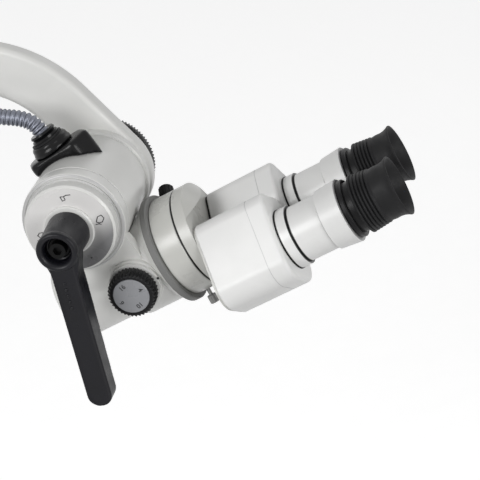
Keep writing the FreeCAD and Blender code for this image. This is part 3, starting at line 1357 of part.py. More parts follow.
def smooth_path(points, share=0.45):
    """Return a wire of straight runs joined by tangent arcs, and print each arc's radius."""
    edges = []
    last = points[0]
    for before, corner, after in zip(points, points[1:], points[2:]):
        towards = (before - corner).normalize()
        away = (after - corner).normalize()
        turn = math.pi - towards.getAngle(away)
        trim = share * min((before - corner).Length, (after - corner).Length)
        radius = trim / math.tan(turn / 2)
        enter = corner + towards * trim
        leave = corner + away * trim
        bisector = (towards + away).normalize()
        middle = corner + bisector * (math.hypot(radius, trim) - radius)
        edges.append(Part.LineSegment(last, enter).toShape())
        edges.append(Part.Arc(enter, middle, leave).toShape())
        print(f"conduit arc radius {radius:.1f} mm, turn {math.degrees(turn):.0f} degrees")
        last = leave
    edges.append(Part.LineSegment(last, points[-1]).toShape())
    return Part.Wire(edges)


def make_conduit():
    """The conduit's plain tube, its ferrule and its entry on the arm."""
    route = conduit_route()
    path = smooth_path(route)
    start_direction = (route[1] - route[0]).normalize()
    section = Part.Wire(Part.Circle(route[0], start_direction, mm.conduit_radius.number).toShape())
    tube = path.makePipeShell([section], True, False)
    expected = math.pi * mm.conduit_radius.number ** 2 * path.Length
    print(f"conduit length {path.Length:.1f} mm, volume {tube.Volume:.0f} of {expected:.0f}")
    item = doc.addObject("Part::Feature", "conduit")
    item.Label = "conduit"
    item.Shape = tube
    PARTS.append(item)
    return route[-1]


def make_arm_gland(end):
    """The conduit's ferrule and round entry on the arm's near face."""
    wall = mm.ferrule_radius
    long = mm.ferrule_length
    turned("conduit_ferrule", [
        (ZERO, ZERO), (wall, ZERO), (wall, long - 0.6), (wall - 0.6, long), (ZERO, long),
    ], Placement(end + Vector(0, long.number, 0), drum_turn))
    rim = mm.arm_gland_radius
    tall = mm.arm_gland_height
    turned("arm_gland", [
        (ZERO, ZERO), (rim, ZERO), (rim, tall - 1), (rim - 1, tall), (ZERO, tall),
    ], Placement(end + Vector(0, (long + tall).number, 0), drum_turn))


def check_and_export():
    """Check every feature and solid, then write one file for each sub-part."""
    doc.recompute()
    for item in doc.Objects:
        if "Invalid" in item.State or "Error" in item.State:
            raise RuntimeError(f"{item.Name} failed: {item.State}")
    for item in PARTS:
        shape = item.Shape
        if shape.isNull() or not shape.isValid() or not shape.Solids:
            raise RuntimeError(f"{item.Label} has no valid solid")
    os.makedirs("parts", exist_ok=True)
    for item in PARTS:
        item.Shape.exportStep(f"parts/{item.Label}.step")
    print(f"{len(PARTS)} sub-parts written")


make_stand_pin()
make_carrier_arm()
make_flange()
make_arm_screws()
make_tilt_drum()
make_tilt_shaft()
make_friction_washer()
make_tilt_wheel()
make_lever()
make_head_housing()
make_head_trim()
make_changer()
make_clamp_ring()
make_barrel()
make_thumbscrew()
base_face = make_binocular_base()
for near_or_far in (-1, 1):
    make_tube(near_or_far, base_face)
make_gland()
make_arm_gland(make_conduit())
check_and_export()
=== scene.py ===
"""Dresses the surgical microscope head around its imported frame.

Lengths in the code are in metres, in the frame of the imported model: +Z up, the eyepieces towards +X,
and the clamp lever towards -Y. Sizes that read best in millimetres are multiplied by MM.
"""
import logging
import math
from dataclasses import dataclass, field
from enum import Enum
from typing import Optional, Sequence

import bmesh
import bpy
from mathutils import Matrix, Vector


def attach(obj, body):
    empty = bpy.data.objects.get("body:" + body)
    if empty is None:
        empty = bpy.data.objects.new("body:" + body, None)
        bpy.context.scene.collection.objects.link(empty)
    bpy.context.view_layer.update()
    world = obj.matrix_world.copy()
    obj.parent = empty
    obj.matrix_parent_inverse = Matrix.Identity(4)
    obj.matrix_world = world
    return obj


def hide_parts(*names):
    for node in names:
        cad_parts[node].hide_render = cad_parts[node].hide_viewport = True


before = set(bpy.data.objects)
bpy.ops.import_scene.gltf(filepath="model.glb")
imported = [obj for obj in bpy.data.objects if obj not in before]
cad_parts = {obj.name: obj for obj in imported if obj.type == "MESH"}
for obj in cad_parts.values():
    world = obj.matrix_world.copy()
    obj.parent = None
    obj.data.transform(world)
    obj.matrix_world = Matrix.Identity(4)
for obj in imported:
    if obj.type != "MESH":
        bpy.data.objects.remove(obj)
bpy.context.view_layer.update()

LOG = logging.getLogger("microscope")
MM = 0.001

TILT_AXIS = Vector((135, -53.8, -112)) * MM
REST_TILT = math.radians(31.5)
ALONG = Vector((math.cos(REST_TILT), 0, math.sin(REST_TILT)))
RISE = Vector((-math.sin(REST_TILT), 0, math.cos(REST_TILT)))
FAR = Vector((0, 1, 0))
TOWARDS = Vector((0, -1, 0))
RIGHT = Vector((1, 0, 0))
UP = Vector((0, 0, 1))
HEAD_CENTRE = TILT_AXIS + (ALONG * 36.5 - RISE * 66.5) * MM
KNOB_CENTRE = HEAD_CENTRE - ALONG * 24.5 * MM


class Side(Enum):
    """The two eyepiece tubes, with the sign of FAR on each one's side."""

    NEAR = -1
    FAR = 1

    @property
    def word(self) -> str:
        """The side's name as the nodes carry it."""
        return self.name.lower()


def frame_on(origin: Vector, across: Vector, axis: Vector) -> Matrix:
    """Gives the matrix of a local frame on the object.

    Args:
        origin: where the local origin lies, in metres.
        across: the direction of the local X axis.
        axis: the direction of the local Z axis.

    Returns:
        The matrix that takes local points to the object.
    """
    axis = axis.normalized()
    across = (across - axis * across.dot(axis)).normalized()
    third = axis.cross(across)
    turn = Matrix((across, third, axis)).transposed()
    return Matrix.Translation(origin) @ turn.to_4x4()


def station(distance: float) -> Vector:
    """Gives the point on the tilt axis at a distance towards the lever, in millimetres."""
    return TILT_AXIS + TOWARDS * distance * MM


DRUM_FRAME = frame_on(TILT_AXIS, RIGHT, TOWARDS)
HEAD_FRAME = frame_on(HEAD_CENTRE, FAR, ALONG)


class Graph:
    """Builds a node tree."""

    def __init__(self, tree: bpy.types.NodeTree) -> None:
        """Takes the tree to build in."""
        self.tree = tree

    def add(self, kind: str, inputs: Optional[dict] = None, **settings: object) -> bpy.types.Node:
        """Adds a node.

        Args:
            kind: the node's type name.
            inputs: values or sockets for its inputs, by name or index.
            settings: its own properties.

        Returns:
            The new node.
        """
        node = self.tree.nodes.new(kind)
        for name, value in settings.items():
            setattr(node, name, value)
        for name, value in (inputs or {}).items():
            self.feed(node.inputs[name], value)
        return node

    def feed(self, socket: bpy.types.NodeSocket, value: object) -> None:
        """Links a socket to another one, or sets it to a plain value.

        Args:
            socket: the input to feed.
            value: the socket to link from, or the value.
        """
        if isinstance(value, bpy.types.NodeSocket):
            self.tree.links.new(value, socket)
        else:
            socket.default_value = value

    def place(self, matrix: Optional[Matrix] = None) -> bpy.types.NodeSocket:
        """Gives object coordinates, taken into a local frame.

        Args:
            matrix: the local frame on the object, or None for the object's own.

        Returns:
            The vector socket.
        """
        spot = self.add("ShaderNodeTexCoord").outputs["Object"]
        if matrix is not None:
            inverse = matrix.inverted()
            spot = self.add("ShaderNodeMapping", {
                "Vector": spot, "Location": inverse.translation, "Rotation": inverse.to_euler()}).outputs[0]
        return spot

    def noise(self, spot: bpy.types.NodeSocket, scale: float, detail: float = 3.0,
              roughness: float = 0.5) -> bpy.types.NodeSocket:
        """Gives a noise value between 0 and 1 at a place, by its scale per metre."""
        return self.add("ShaderNodeTexNoise", {
            "Vector": spot, "Scale": scale, "Detail": detail, "Roughness": roughness}).outputs["Fac"]

    def span(self, value: bpy.types.NodeSocket, low: float, high: float,
             start: float = 0.3, end: float = 0.7) -> bpy.types.NodeSocket:
        """Maps a value's range from start to end onto low to high, clamped."""
        return self.add("ShaderNodeMapRange", {
            "Value": value, "From Min": start, "From Max": end, "To Min": low, "To Max": high}).outputs[0]

    def blend(self, share: object, first: object, second: object) -> bpy.types.NodeSocket:
        """Mixes two colours by a share, through the node's own sockets for colours."""
        inputs = {"Factor": share, 6: first, 7: second}
        return self.add("ShaderNodeMix", inputs, data_type="RGBA").outputs[2]

    def bump(self, height: bpy.types.NodeSocket, depth: float) -> bpy.types.NodeSocket:
        """Gives a bumped normal for a height between 0 and 1, by its depth in metres."""
        node = self.add("ShaderNodeBump", {"Height": height, "Distance": depth, "Strength": 1.0})
        return node.outputs["Normal"]

    def combine(self, operation: str, first: object, second: object = 0.0) -> bpy.types.NodeSocket:
        """Gives the result of a math operation on one or two values."""
        return self.add("ShaderNodeMath", {0: first, 1: second}, operation=operation).outputs[0]

    def seen_rays(self) -> bpy.types.NodeSocket:
        """Gives 1 for the rays that see the background: the camera's, and those off gloss or through glass.

        Returns:
            The value's socket.
        """
        path = self.add("ShaderNodeLightPath").outputs
        seen = path["Is Camera Ray"]
        for kind in ("Is Glossy Ray", "Is Transmission Ray"):
            seen = self.combine("MAXIMUM", seen, path[kind])
        return seen


class Surface(Graph):
    """Builds the node tree of one material."""

    def __init__(self, name: str) -> None:
        """Starts a material with a bare principled shader.

        Args:
            name: the material's name.
        """
        self.material = bpy.data.materials.new(name)
        self.material.use_nodes = True
        super().__init__(self.material.node_tree)
        self.shader = self.tree.nodes["Principled BSDF"]
        self.output = self.tree.nodes["Material Output"]

    def put(self, name: str, value: object) -> None:
        """Feeds one of the shader's inputs, by its name."""
        self.feed(self.shader.inputs[name], value)


def shade(colour: Sequence[float], factor: float) -> tuple:
    """Gives a colour with its alpha, made lighter or darker by a factor."""
    return tuple(min(1.0, part * factor) for part in colour[:3]) + (1.0,)


@dataclass(frozen=True)
class Enamel:
    """Sprayed paint: faint orange peel, and a slow drift of tone as dust and handling leave it."""

    name: str
    colour: tuple
    roughness: float = 0.34
    drift: float = 0.035
    peel: float = 0.00003
    specular: float = 0.5
    coat: float = 0.2
    coat_roughness: float = 0.2
    drift_scale: float = 22.0
    gloss_scale: float = 60.0
    peel_scale: float = 900.0

    def build(self) -> bpy.types.Material:
        """Makes the material.

        Returns:
            The material.
        """
        graph = Surface(self.name)
        spot = graph.place()
        graph.put("Base Color", self.tone(graph, spot))
        graph.put("Roughness", graph.span(
            graph.noise(spot, self.gloss_scale, 5.0), self.roughness - 0.05, self.roughness + 0.06))
        peel = graph.noise(spot, self.peel_scale, 2.0)
        graph.put("Normal", graph.bump(peel, self.peel))
        graph.put("Specular IOR Level", self.specular)
        graph.put("Coat Weight", self.coat)
        graph.put("Coat Roughness", self.coat_roughness)
        return graph.material

    def tone(self, graph: Graph, spot: bpy.types.NodeSocket) -> bpy.types.NodeSocket:
        """Gives the paint's colour over the surface.

        Args:
            graph: the material's node tree.
            spot: the object coordinates.

        Returns:
            The colour's socket.
        """
        share = graph.span(graph.noise(spot, self.drift_scale, 4.0), 0.0, 1.0)
        dull, clean = shade(self.colour, 1.0 - self.drift), shade(self.colour, 1.0 + self.drift / 2)
        return graph.blend(share, dull, clean)


@dataclass(frozen=True)
class SeamedEnamel(Enamel):
    """Sprayed paint with dark bands at the seams and grooves between turned pieces: the dark joints, and
    painted shade in the grooves.
    """

    seams: tuple = ()
    place: Matrix = field(default_factory=HEAD_FRAME.copy)
    reach: float = 90.0

    def tone(self, graph: Graph, spot: bpy.types.NodeSocket) -> bpy.types.NodeSocket:
        """Gives the paint's colour, darkened in a band at each seam and groove along the local Z axis and
        within reach of it: the joint's own dark line, and painted shade in the groove.

        Args:
            graph: the material's node tree.
            spot: the object coordinates.

        Returns:
            The colour's socket.
        """
        plain = super().tone(graph, spot)
        colour = plain
        local = graph.place(self.place)
        height = graph.add("ShaderNodeSeparateXYZ", {"Vector": local}).outputs["Z"]
        flat = graph.add("ShaderNodeVectorMath", {0: local, 1: (1.0, 1.0, 0.0)},
                         operation="MULTIPLY").outputs[0]
        radius = graph.add("ShaderNodeVectorMath", {0: flat}, operation="LENGTH").outputs["Value"]
        # each band paints a dark joint together with the shade that falls in its groove
        for start, end, band_tone in self.seams:
            middle, half = (start + end) / 2 * MM, (end - start) / 2 * MM
            away = graph.combine("ABSOLUTE", graph.combine("SUBTRACT", height, middle))
            colour = graph.blend(graph.span(away, 1.0, 0.0, half * 0.7, half), colour, (band_tone, band_tone, band_tone, 1.0))
        inside = graph.span(radius, 1.0, 0.0, self.reach * MM, (self.reach + 0.2) * MM)
        return graph.blend(inside, plain, colour)


@dataclass(frozen=True)
class Moulding:
    """Moulded plastic or rubber: a fine grain, paler where it is handled, and a dull or satin gloss."""

    name: str
    colour: tuple
    roughness: float = 0.45
    grain: float = 0.00006
    grain_scale: float = 1500.0
    bloom: float = 1.6
    bloom_scale: float = 35.0
    gloss_scale: float = 130.0
    specular: float = 0.5

    def build(self) -> bpy.types.Material:
        """Makes the material.

        Returns:
            The material.
        """
        graph = Surface(self.name)
        spot = graph.place()
        handled = graph.span(graph.noise(spot, self.bloom_scale, 5.0, 0.6), 0.0, 1.0, 0.35, 0.75)
        graph.put("Base Color", graph.blend(
            handled, shade(self.colour, 1.0), shade(self.colour, self.bloom)))
        graph.put("Roughness", graph.span(
            graph.noise(spot, self.gloss_scale, 4.0), self.roughness - 0.07, self.roughness + 0.08))
        cells = graph.add("ShaderNodeTexVoronoi", {"Vector": spot, "Scale": self.grain_scale})
        grain = cells.outputs["Distance"]
        graph.put("Normal", graph.bump(grain, self.grain))
        graph.put("Specular IOR Level", self.specular)
        return graph.material


@dataclass(frozen=True)
class TurnedMetal:
    """Machined metal: fine turning marks round an axis, and slow stains in the gloss."""

    name: str
    colour: tuple
    origin: Vector
    axis: Vector
    roughness: float = 0.3
    marks: float = 0.00004
    pitch: float = 3500.0
    stain_scale: float = 90.0
    metallic: float = 1.0

    def build(self) -> bpy.types.Material:
        """Makes the material.

        Returns:
            The material.
        """
        graph = Surface(self.name)
        across = RISE if abs(self.axis.dot(RISE)) < 0.9 else FAR
        spot = graph.place(frame_on(self.origin, across, self.axis))
        parts = graph.add("ShaderNodeSeparateXYZ", {"Vector": spot})
        across_axis = {"X": parts.outputs["X"], "Y": parts.outputs["Y"]}
        flat = graph.add("ShaderNodeCombineXYZ", across_axis).outputs[0]
        reach = graph.add("ShaderNodeVectorMath", {0: flat}, operation="LENGTH").outputs["Value"]
        ring = graph.add("ShaderNodeCombineXYZ", {"X": reach, "Z": parts.outputs["Z"]}).outputs[0]
        marks = graph.noise(ring, self.pitch, 2.0)
        stain = graph.noise(spot, self.stain_scale, 4.0)
        graph.put("Base Color", graph.blend(
            graph.span(stain, 0.0, 1.0), shade(self.colour, 0.9), shade(self.colour, 1.05)))
        graph.put("Roughness", graph.span(
            marks, self.roughness - 0.06, self.roughness + 0.1))
        graph.put("Normal", graph.bump(marks, self.marks))
        graph.put("Metallic", self.metallic)
        return graph.material


@dataclass(frozen=True)
class DialMetal(Enamel):
    """Satin disc: pale at its upper left, with a painted shadow of the lever that darkens it towards its
    lower right.
    """

    # the tone of the lever's painted shadow, and the reach in millimetres over which it deepens
    shadow_tone: tuple = (0.21, 0.21, 0.215)
    shadow_start: float = 6.0
    shadow_end: float = 34.0

    def tone(self, graph: Graph, spot: bpy.types.NodeSocket) -> bpy.types.NodeSocket:
        """Gives the disc's colour, with the lever's painted shadow darkening it towards its lower right.

        Args:
            graph: the material's node tree.
            spot: the object coordinates.

        Returns:
            The colour's socket.
        """
        # painted shadow of the lever: the colour darkens from the upper left towards the lower right
        flat = graph.add("ShaderNodeSeparateXYZ", {"Vector": graph.place(DRUM_FRAME)})
        lean = graph.combine("SUBTRACT", flat.outputs["X"], flat.outputs["Y"])
        share = graph.span(lean, 0.0, 1.0, self.shadow_start * MM, self.shadow_end * MM)
        return graph.blend(share, super().tone(graph, spot), shade(self.shadow_tone, 1.0))


@dataclass(frozen=True)
class CoatedGlass:
    """Coated lens glass, with a faint tint and the odd speck of dust."""

    name: str
    colour: tuple = (0.75, 0.82, 0.9)
    coating: tuple = (0.55, 0.75, 1.0, 1.0)
    dust_scale: float = 700.0
    clearness: float = 0.8
    index: float = 1.52

    def build(self) -> bpy.types.Material:
        """Makes the material.

        Returns:
            The material.
        """
        graph = Surface(self.name)
        spot = graph.place()
        dust = graph.span(graph.noise(spot, self.dust_scale, 2.0), 0.03, 0.16, 0.62, 0.75)
        graph.put("Roughness", dust)
        graph.put("Base Color", shade(self.colour, 1.0))
        graph.put("Transmission Weight", self.clearness)
        graph.put("IOR", self.index)
        graph.put("Coat Weight", 1.0)
        graph.put("Coat Tint", self.coating)
        return graph.material


class Finishes:
    """Makes each finish once, and hands it out by name."""

    def __init__(self) -> None:
        """Starts with no material made."""
        self.made: dict = {}

    def get(self, finish: object) -> bpy.types.Material:
        """Gives a finish's material, made when it is first asked for.

        Args:
            finish: the finish.

        Returns:
            Its material.
        """
        if finish.name not in self.made:
            self.made[finish.name] = finish.build()
        return self.made[finish.name]


FINISHES = Finishes()

WHITE = Enamel("white_enamel", (0.76, 0.76, 0.74))
# The housing's two dark bands are painted shade in the drum cap's groove and at the step of its boss.
HOUSING = SeamedEnamel("housing_enamel", (0.76, 0.76, 0.74), place=DRUM_FRAME, reach=39.7, seams=(
    (29.6, 30.3, 0.2), (41.2, 42.1, 0.5)))
DIAL = DialMetal("dial_enamel", (0.74, 0.73, 0.72), roughness=0.24, drift=0.02)
BOX_WHITE = SeamedEnamel("tube_enamel", (0.82, 0.82, 0.81), roughness=0.4, seams=(
    (80.8, 81.3, 0.62), (95.9, 97.0, 0.01), (104.1, 106.2, 0.01), (128.7, 129.4, 0.42),
    (145.9, 147.0, 0.3)))
PALE = SeamedEnamel("pale_metal", (0.58, 0.58, 0.55), roughness=0.3, seams=((24.1, 26.0, 0.008),))
GREY = Enamel("grey_casting", (0.20, 0.20, 0.195), roughness=0.5, peel=0.00008, specular=0.3, coat=0.0)
BLACK_PLASTIC = Moulding("black_plastic", (0.005, 0.005, 0.0055), roughness=0.36, specular=0.16)
GLAND_PLASTIC = Moulding("gland_plastic", (0.003, 0.003, 0.0035), roughness=0.22, grain=0.00001,
                         specular=0.2)
LEVER_PLASTIC = Moulding("lever_plastic", (0.005, 0.005, 0.007), roughness=0.34, grain=0.00004,
                         specular=0.22)
SOCKET_BLACK = Enamel("socket_black", (0.003, 0.003, 0.003), roughness=0.3, specular=0.12, coat=0.0)
RUBBER = Moulding("black_rubber", (0.006, 0.006, 0.0065), roughness=0.55, bloom=1.8, specular=0.2)
BLACK_METAL = Enamel("black_metal", (0.008, 0.008, 0.008), roughness=0.35, specular=0.2, coat=0.0)
SCALE = Enamel("scale_metal", (0.26, 0.265, 0.28), roughness=0.3, drift=0.06)
GLASS = CoatedGlass("coated_glass")
INK = Moulding("marking_ink", (0.015, 0.015, 0.016), roughness=0.5, grain=0.00001)


def steel(name: str, origin: Vector, axis: Vector) -> TurnedMetal:
    """Gives bright steel turned about an axis."""
    return TurnedMetal(name, (0.40, 0.40, 0.41), origin, axis, roughness=0.28)


PIN_STEEL = steel("pin_steel", Vector((0, 0, 0)), UP)
AXIS_STEEL = steel("axis_steel", TILT_AXIS, TOWARDS)
HEAD_STEEL = steel("head_steel", HEAD_CENTRE, FAR)
DARK_STEEL = TurnedMetal("dark_steel", (0.26, 0.26, 0.255), HEAD_CENTRE, RISE, roughness=0.34)
BRONZE = TurnedMetal("bronze", (0.55, 0.4, 0.2), TILT_AXIS, TOWARDS)


def placed(name: str, data: bpy.types.ID) -> bpy.types.Object:
    """Gives a new object in the scene.

    Args:
        name: the object's name.
        data: its mesh, curve, lamp or camera.

    Returns:
        The object.
    """
    item = bpy.data.objects.new(name, data)
    bpy.context.scene.collection.objects.link(item)
    return item


@dataclass
class FramedNodes:
    """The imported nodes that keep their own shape, with the finish of each."""

    crease: float = math.radians(28)
    finish_of: dict = field(default_factory=lambda: {
        "stand_pin": PIN_STEEL, "carrier_arm": WHITE, "arm_flange": WHITE, "arm_screws": AXIS_STEEL,
        "tilt_drum": WHITE, "tilt_shaft": AXIS_STEEL, "friction_washer": BLACK_PLASTIC,
        "gland_base": GLAND_PLASTIC, "gland_turret": GLAND_PLASTIC, "gland_seal": RUBBER,
        "gland_nut": GLAND_PLASTIC, "conduit": AXIS_STEEL, "conduit_ferrule": AXIS_STEEL,
        "arm_gland": BLACK_PLASTIC, "tilt_wheel": BLACK_PLASTIC, "wheel_hub": AXIS_STEEL,
        "lever_insert": SOCKET_BLACK, "lever_screw": SOCKET_BLACK, "clamp_lever": LEVER_PLASTIC,
        "head_housing": HOUSING, "tilt_bush": BRONZE, "face_disc": DIAL, "hub_collar": WHITE,
        "objective_cell": BLACK_METAL, "objective_lens": GLASS, "knob_base_rings": WHITE,
        "clamp_ring": GREY, "microscope_barrel": PALE, "tube_lenses": GLASS,
        "changer_turret": BLACK_METAL, "changer_shaft": HEAD_STEEL, "changer_lenses": GLASS,
        "changer_knobs": BLACK_PLASTIC, "changer_scales": SCALE, "clamp_screw": HEAD_STEEL,
        "clamp_screw_knob": BLACK_PLASTIC, "barrel_thumbscrew": DARK_STEEL,
        "swivel_ring": BLACK_METAL, "binocular_base": PALE,
    })
    tube_finish_of: dict = field(default_factory=lambda: {
        "swing_plate": BLACK_METAL, "prism_housing": BOX_WHITE, "prism_cover": BOX_WHITE, "prism": GLASS,
        "tube_seals": RUBBER, "tube_collar": BOX_WHITE, "eyepiece_tube": BOX_WHITE,
        "eyepiece": BLACK_PLASTIC, "eye_lens": GLASS, "eyecup": RUBBER,
    })

    def dress(self) -> None:
        """Gives every node its finish and soft shading between its creases."""
        finish_of = dict(self.finish_of)
        for side in Side:
            for name, finish in self.tube_finish_of.items():
                finish_of[f"{side.word}_{name}"] = finish
        finish_of["near_swing_plate"] = PALE
        for name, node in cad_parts.items():
            self.paint(node, FINISHES.get(finish_of[name]))
            self.smooth(node)
        LOG.info("dressed %d nodes", len(finish_of))

    def paint(self, node: bpy.types.Object, material: bpy.types.Material) -> None:
        """Puts a material in every slot of a node.

        Args:
            node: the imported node.
            material: its material.
        """
        if not node.material_slots:
            node.data.materials.append(material)
        for slot in node.material_slots:
            slot.material = material

    def smooth(self, node: bpy.types.Object) -> None:
        """Shades a node smoothly between its creases, by modifiers alone.

        Args:
            node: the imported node.
        """
        for polygon in node.data.polygons:
            polygon.use_smooth = True
        weld = node.modifiers.new("weld", "WELD")
        weld.merge_threshold = 1e-6
        split = node.modifiers.new("creases", "EDGE_SPLIT")
        split.split_angle = self.crease
        split.use_edge_sharp = False


class Workshop:
    """Turns bmeshes into pieces that ride on the object's bodies."""

    @staticmethod
    def piece(name: str, mesh: bmesh.types.BMesh, finish: object, body: str, slot: str,
              place: Optional[Matrix] = None, smooth: bool = True) -> bpy.types.Object:
        """Makes a piece from a bmesh.

        Args:
            name: the piece's name.
            mesh: its bmesh, which is freed.
            finish: its finish.
            body: the body that it rides on.
            slot: the record's material slot for the piece; it is not used.
            place: the local frame that the bmesh is drawn in.
            smooth: whether its faces are shaded smoothly.

        Returns:
            The new object, at the origin and unturned.
        """
        if place is not None:
            bmesh.ops.transform(mesh, matrix=place, verts=mesh.verts)
        bmesh.ops.remove_doubles(mesh, verts=mesh.verts, dist=1e-7)
        bmesh.ops.recalc_face_normals(mesh, faces=mesh.faces)
        data = bpy.data.meshes.new(name)
        mesh.to_mesh(data)
        mesh.free()
        for polygon in data.polygons:
            polygon.use_smooth = smooth
        data.materials.append(FINISHES.get(finish))
        item = placed(name, data)
        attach(item, body)
        LOG.info("%s: %d faces", name, len(data.polygons))
        return item

    @staticmethod
    def bake(item: bpy.types.Object) -> None:
        """Turns a piece's modifiers into its own mesh.

        Args:
            item: the piece.
        """
        graph = bpy.context.evaluated_depsgraph_get()
        graph.update()
        old = item.data
        item.data = bpy.data.meshes.new_from_object(item.evaluated_get(graph))
        item.modifiers.clear()
        name = old.name
        bpy.data.meshes.remove(old)
        item.data.name = name
        for polygon in item.data.polygons:
            polygon.use_smooth = True

    @staticmethod
    def join(mesh: bmesh.types.BMesh, other: bmesh.types.BMesh) -> None:
        """Adds another bmesh to a bmesh.

        Args:
            mesh: the bmesh that takes it up.
            other: the one that is added, and freed.
        """
        data = bpy.data.meshes.new("joined")
        other.to_mesh(data)
        other.free()
        mesh.from_mesh(data)
        bpy.data.meshes.remove(data)

    @staticmethod
    def crease(item: bpy.types.Object, angle: float = math.radians(50)) -> None:
        """Splits a ridged piece's shading at its sharp edges."""
        item.modifiers.new("creases", "EDGE_SPLIT").split_angle = angle

    @staticmethod
    def letters(text: str, height: float, depth: float) -> bpy.types.Mesh:
        """Gives a short text as a mesh, centred on the origin of its plane.

        Args:
            text: the characters.
            height: the size of the letters, in metres.
            depth: their thickness, in metres.

        Returns:
            The mesh.
        """
        curve = bpy.data.curves.new("letters", "FONT")
        curve.body = text
        curve.size = height
        curve.offset = height * 0.022
        curve.extrude = depth
        curve.align_x = "CENTER"
        curve.align_y = "CENTER"
        curve.resolution_u = 3
        return Workshop.flattened(curve)

    @staticmethod
    def flattened(curve: bpy.types.Curve) -> bpy.types.Mesh:
        """Makes a mesh from a curve, which is removed.

        Args:
            curve: the curve or text.

        Returns:
            The mesh.
        """
        holder = placed("curve", curve)
        bpy.context.view_layer.update()
        mesh = bpy.data.meshes.new_from_object(holder.evaluated_get(bpy.context.evaluated_depsgraph_get()))
        bpy.data.objects.remove(holder)
        bpy.data.curves.remove(curve)
        return mesh

    @staticmethod
    def lines(name: str, strokes: Sequence[Sequence[tuple]], radius: float, finish: object, body: str,
              slot: str, place: Matrix) -> bpy.types.Object:
        """Draws strokes as fine round lines, half sunk in the surface below them.

        Args:
            name: the piece's name.
            strokes: the points of each stroke, in millimetres in the local plane.
            radius: the radius of a line, in millimetres.
            finish: the finish of the lines.
            body: the body that they ride on.
            slot: the record's material slot.
            place: the local frame of the plane.

        Returns:
            The new object.
        """
        curve = bpy.data.curves.new(name, "CURVE")
        curve.dimensions = "3D"
        curve.bevel_depth = radius * MM
        curve.bevel_resolution = 2
        curve.use_fill_caps = True
        for stroke in strokes:
            spline = curve.splines.new("POLY")
            spline.points.add(len(stroke) - 1)
            for point, spot in zip(spline.points, stroke):
                point.co = (spot[0] * MM, spot[1] * MM, 0.0, 1.0)
        data = Workshop.flattened(curve)
        mesh = bmesh.new()
        mesh.from_mesh(data)
        bpy.data.meshes.remove(data)
        return Workshop.piece(name, mesh, finish, body, slot, place)

    @staticmethod
    def spun(profile: Sequence[tuple], steps: int = 96, close: bool = False) -> bmesh.types.BMesh:
        """Spins a profile of (radius, height) pairs, in millimetres, round the local Z axis.

        Args:
            profile: the points of the profile, in order.
            steps: the number of steps round the axis.
            close: whether the last point joins the first.

        Returns:
            The bmesh, in metres.
        """
        mesh = bmesh.new()
        verts = [mesh.verts.new((radius * MM, 0, height * MM)) for radius, height in profile]
        pairs = list(zip(verts, verts[1:]))
        if close:
            pairs.append((verts[-1], verts[0]))
        edges = [mesh.edges.new(pair) for pair in pairs]
        bmesh.ops.spin(mesh, geom=verts + edges, cent=(0, 0, 0), axis=(0, 0, 1), angle=math.tau,
                       steps=steps, use_merge=True)
        bmesh.ops.remove_doubles(mesh, verts=mesh.verts, dist=1e-7)
        return mesh

    @staticmethod
    def ridged(profile: Sequence[tuple], ridges: int, depth: float, steps: int = 6) -> bmesh.types.BMesh:
        """Turns a closed profile round the local Z axis, with even ridges along its rim.

        Args:
            profile: the (radius, height, share) points in millimetres, with each one's share of the depth.
            ridges: the number of ridges round the rim.
            depth: how deep the grooves between them are, in millimetres.
            steps: the number of steps in a ridge.

        Returns:
            The bmesh, in metres.
        """
        mesh = bmesh.new()
        rings = []
        for step in range(ridges * steps):
            turn = math.tau * step / (ridges * steps)
            groove = depth * (0.5 - 0.5 * math.cos(math.tau * step / steps)) ** 0.7
            ring = []
            for radius, height, share in profile:
                reach = radius - groove * share
                spot = Vector((reach * math.cos(turn), reach * math.sin(turn), height))
                ring.append(mesh.verts.new(spot * MM))
            rings.append(ring)
        for ring, following in zip(rings, rings[1:] + rings[:1]):
            for first in range(len(profile)):
                second = (first + 1) % len(profile)
                mesh.faces.new((ring[first], following[first], following[second], ring[second]))
        return mesh

    @staticmethod
    def rounded(name: str, node: str, finish: object, body: str, slot: str, voxel: float,
                rounds: int) -> None:
        """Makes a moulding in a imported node's form, with every edge rounded over, and replaces the node.

        Args:
            name: the piece's name.
            node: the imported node's name.
            finish: its finish.
            body: the body that it rides on.
            slot: the record's material slot.
            voxel: the size of the voxels, in millimetres.
            rounds: how many times it is smoothed.
        """
        mesh = bmesh.new()
        mesh.from_mesh(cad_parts[node].data)
        item = Workshop.piece(name, mesh, finish, body, slot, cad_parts[node].matrix_world.copy())
        Workshop.soften(item, voxel, rounds)
        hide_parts(node)

    @staticmethod
    def soften(item: bpy.types.Object, voxel: float, rounds: int) -> None:
        """Melts a piece's shells into one skin, and smooths it.

        Args:
            item: the piece.
            voxel: the size of the voxels, in millimetres.
            rounds: how many times it is smoothed.
        """
        remesh = item.modifiers.new("mould", "REMESH")
        remesh.mode = "VOXEL"
        remesh.voxel_size = voxel * MM
        remesh.use_smooth_shade = True
        smooth = item.modifiers.new("soften", "SMOOTH")
        smooth.factor = 0.5
        smooth.iterations = rounds
        Workshop.bake(item)

    @staticmethod
    def swept(line: Sequence[Vector], radii: Sequence[float], steps: int = 24) -> bmesh.types.BMesh:
        """Carries a ring along a line, its radius given at each point.

        Args:
            line: the points of the line, in metres.
            radii: the ring's radius at each point, in metres.
            steps: the number of steps round the ring.

        Returns:
            The bmesh of the tube, closed at both ends.
        """
        mesh = bmesh.new()
        across = RISE.cross(line[1] - line[0])
        last: Optional[list] = None
        for index, point in enumerate(line):
            ahead = line[min(index + 1, len(line) - 1)] - line[max(index - 1, 0)]
            place = frame_on(point, across, ahead)
            across = place.to_3x3() @ RIGHT
            ring = bmesh.ops.create_circle(mesh, cap_ends=index in (0, len(line) - 1), segments=steps,
                                           radius=radii[index], matrix=place)["verts"]
            if last is not None:
                for first in range(steps):
                    following = (first + 1) % steps
                    mesh.faces.new((last[first], last[following], ring[following], ring[first]))
            last = ring
        return mesh


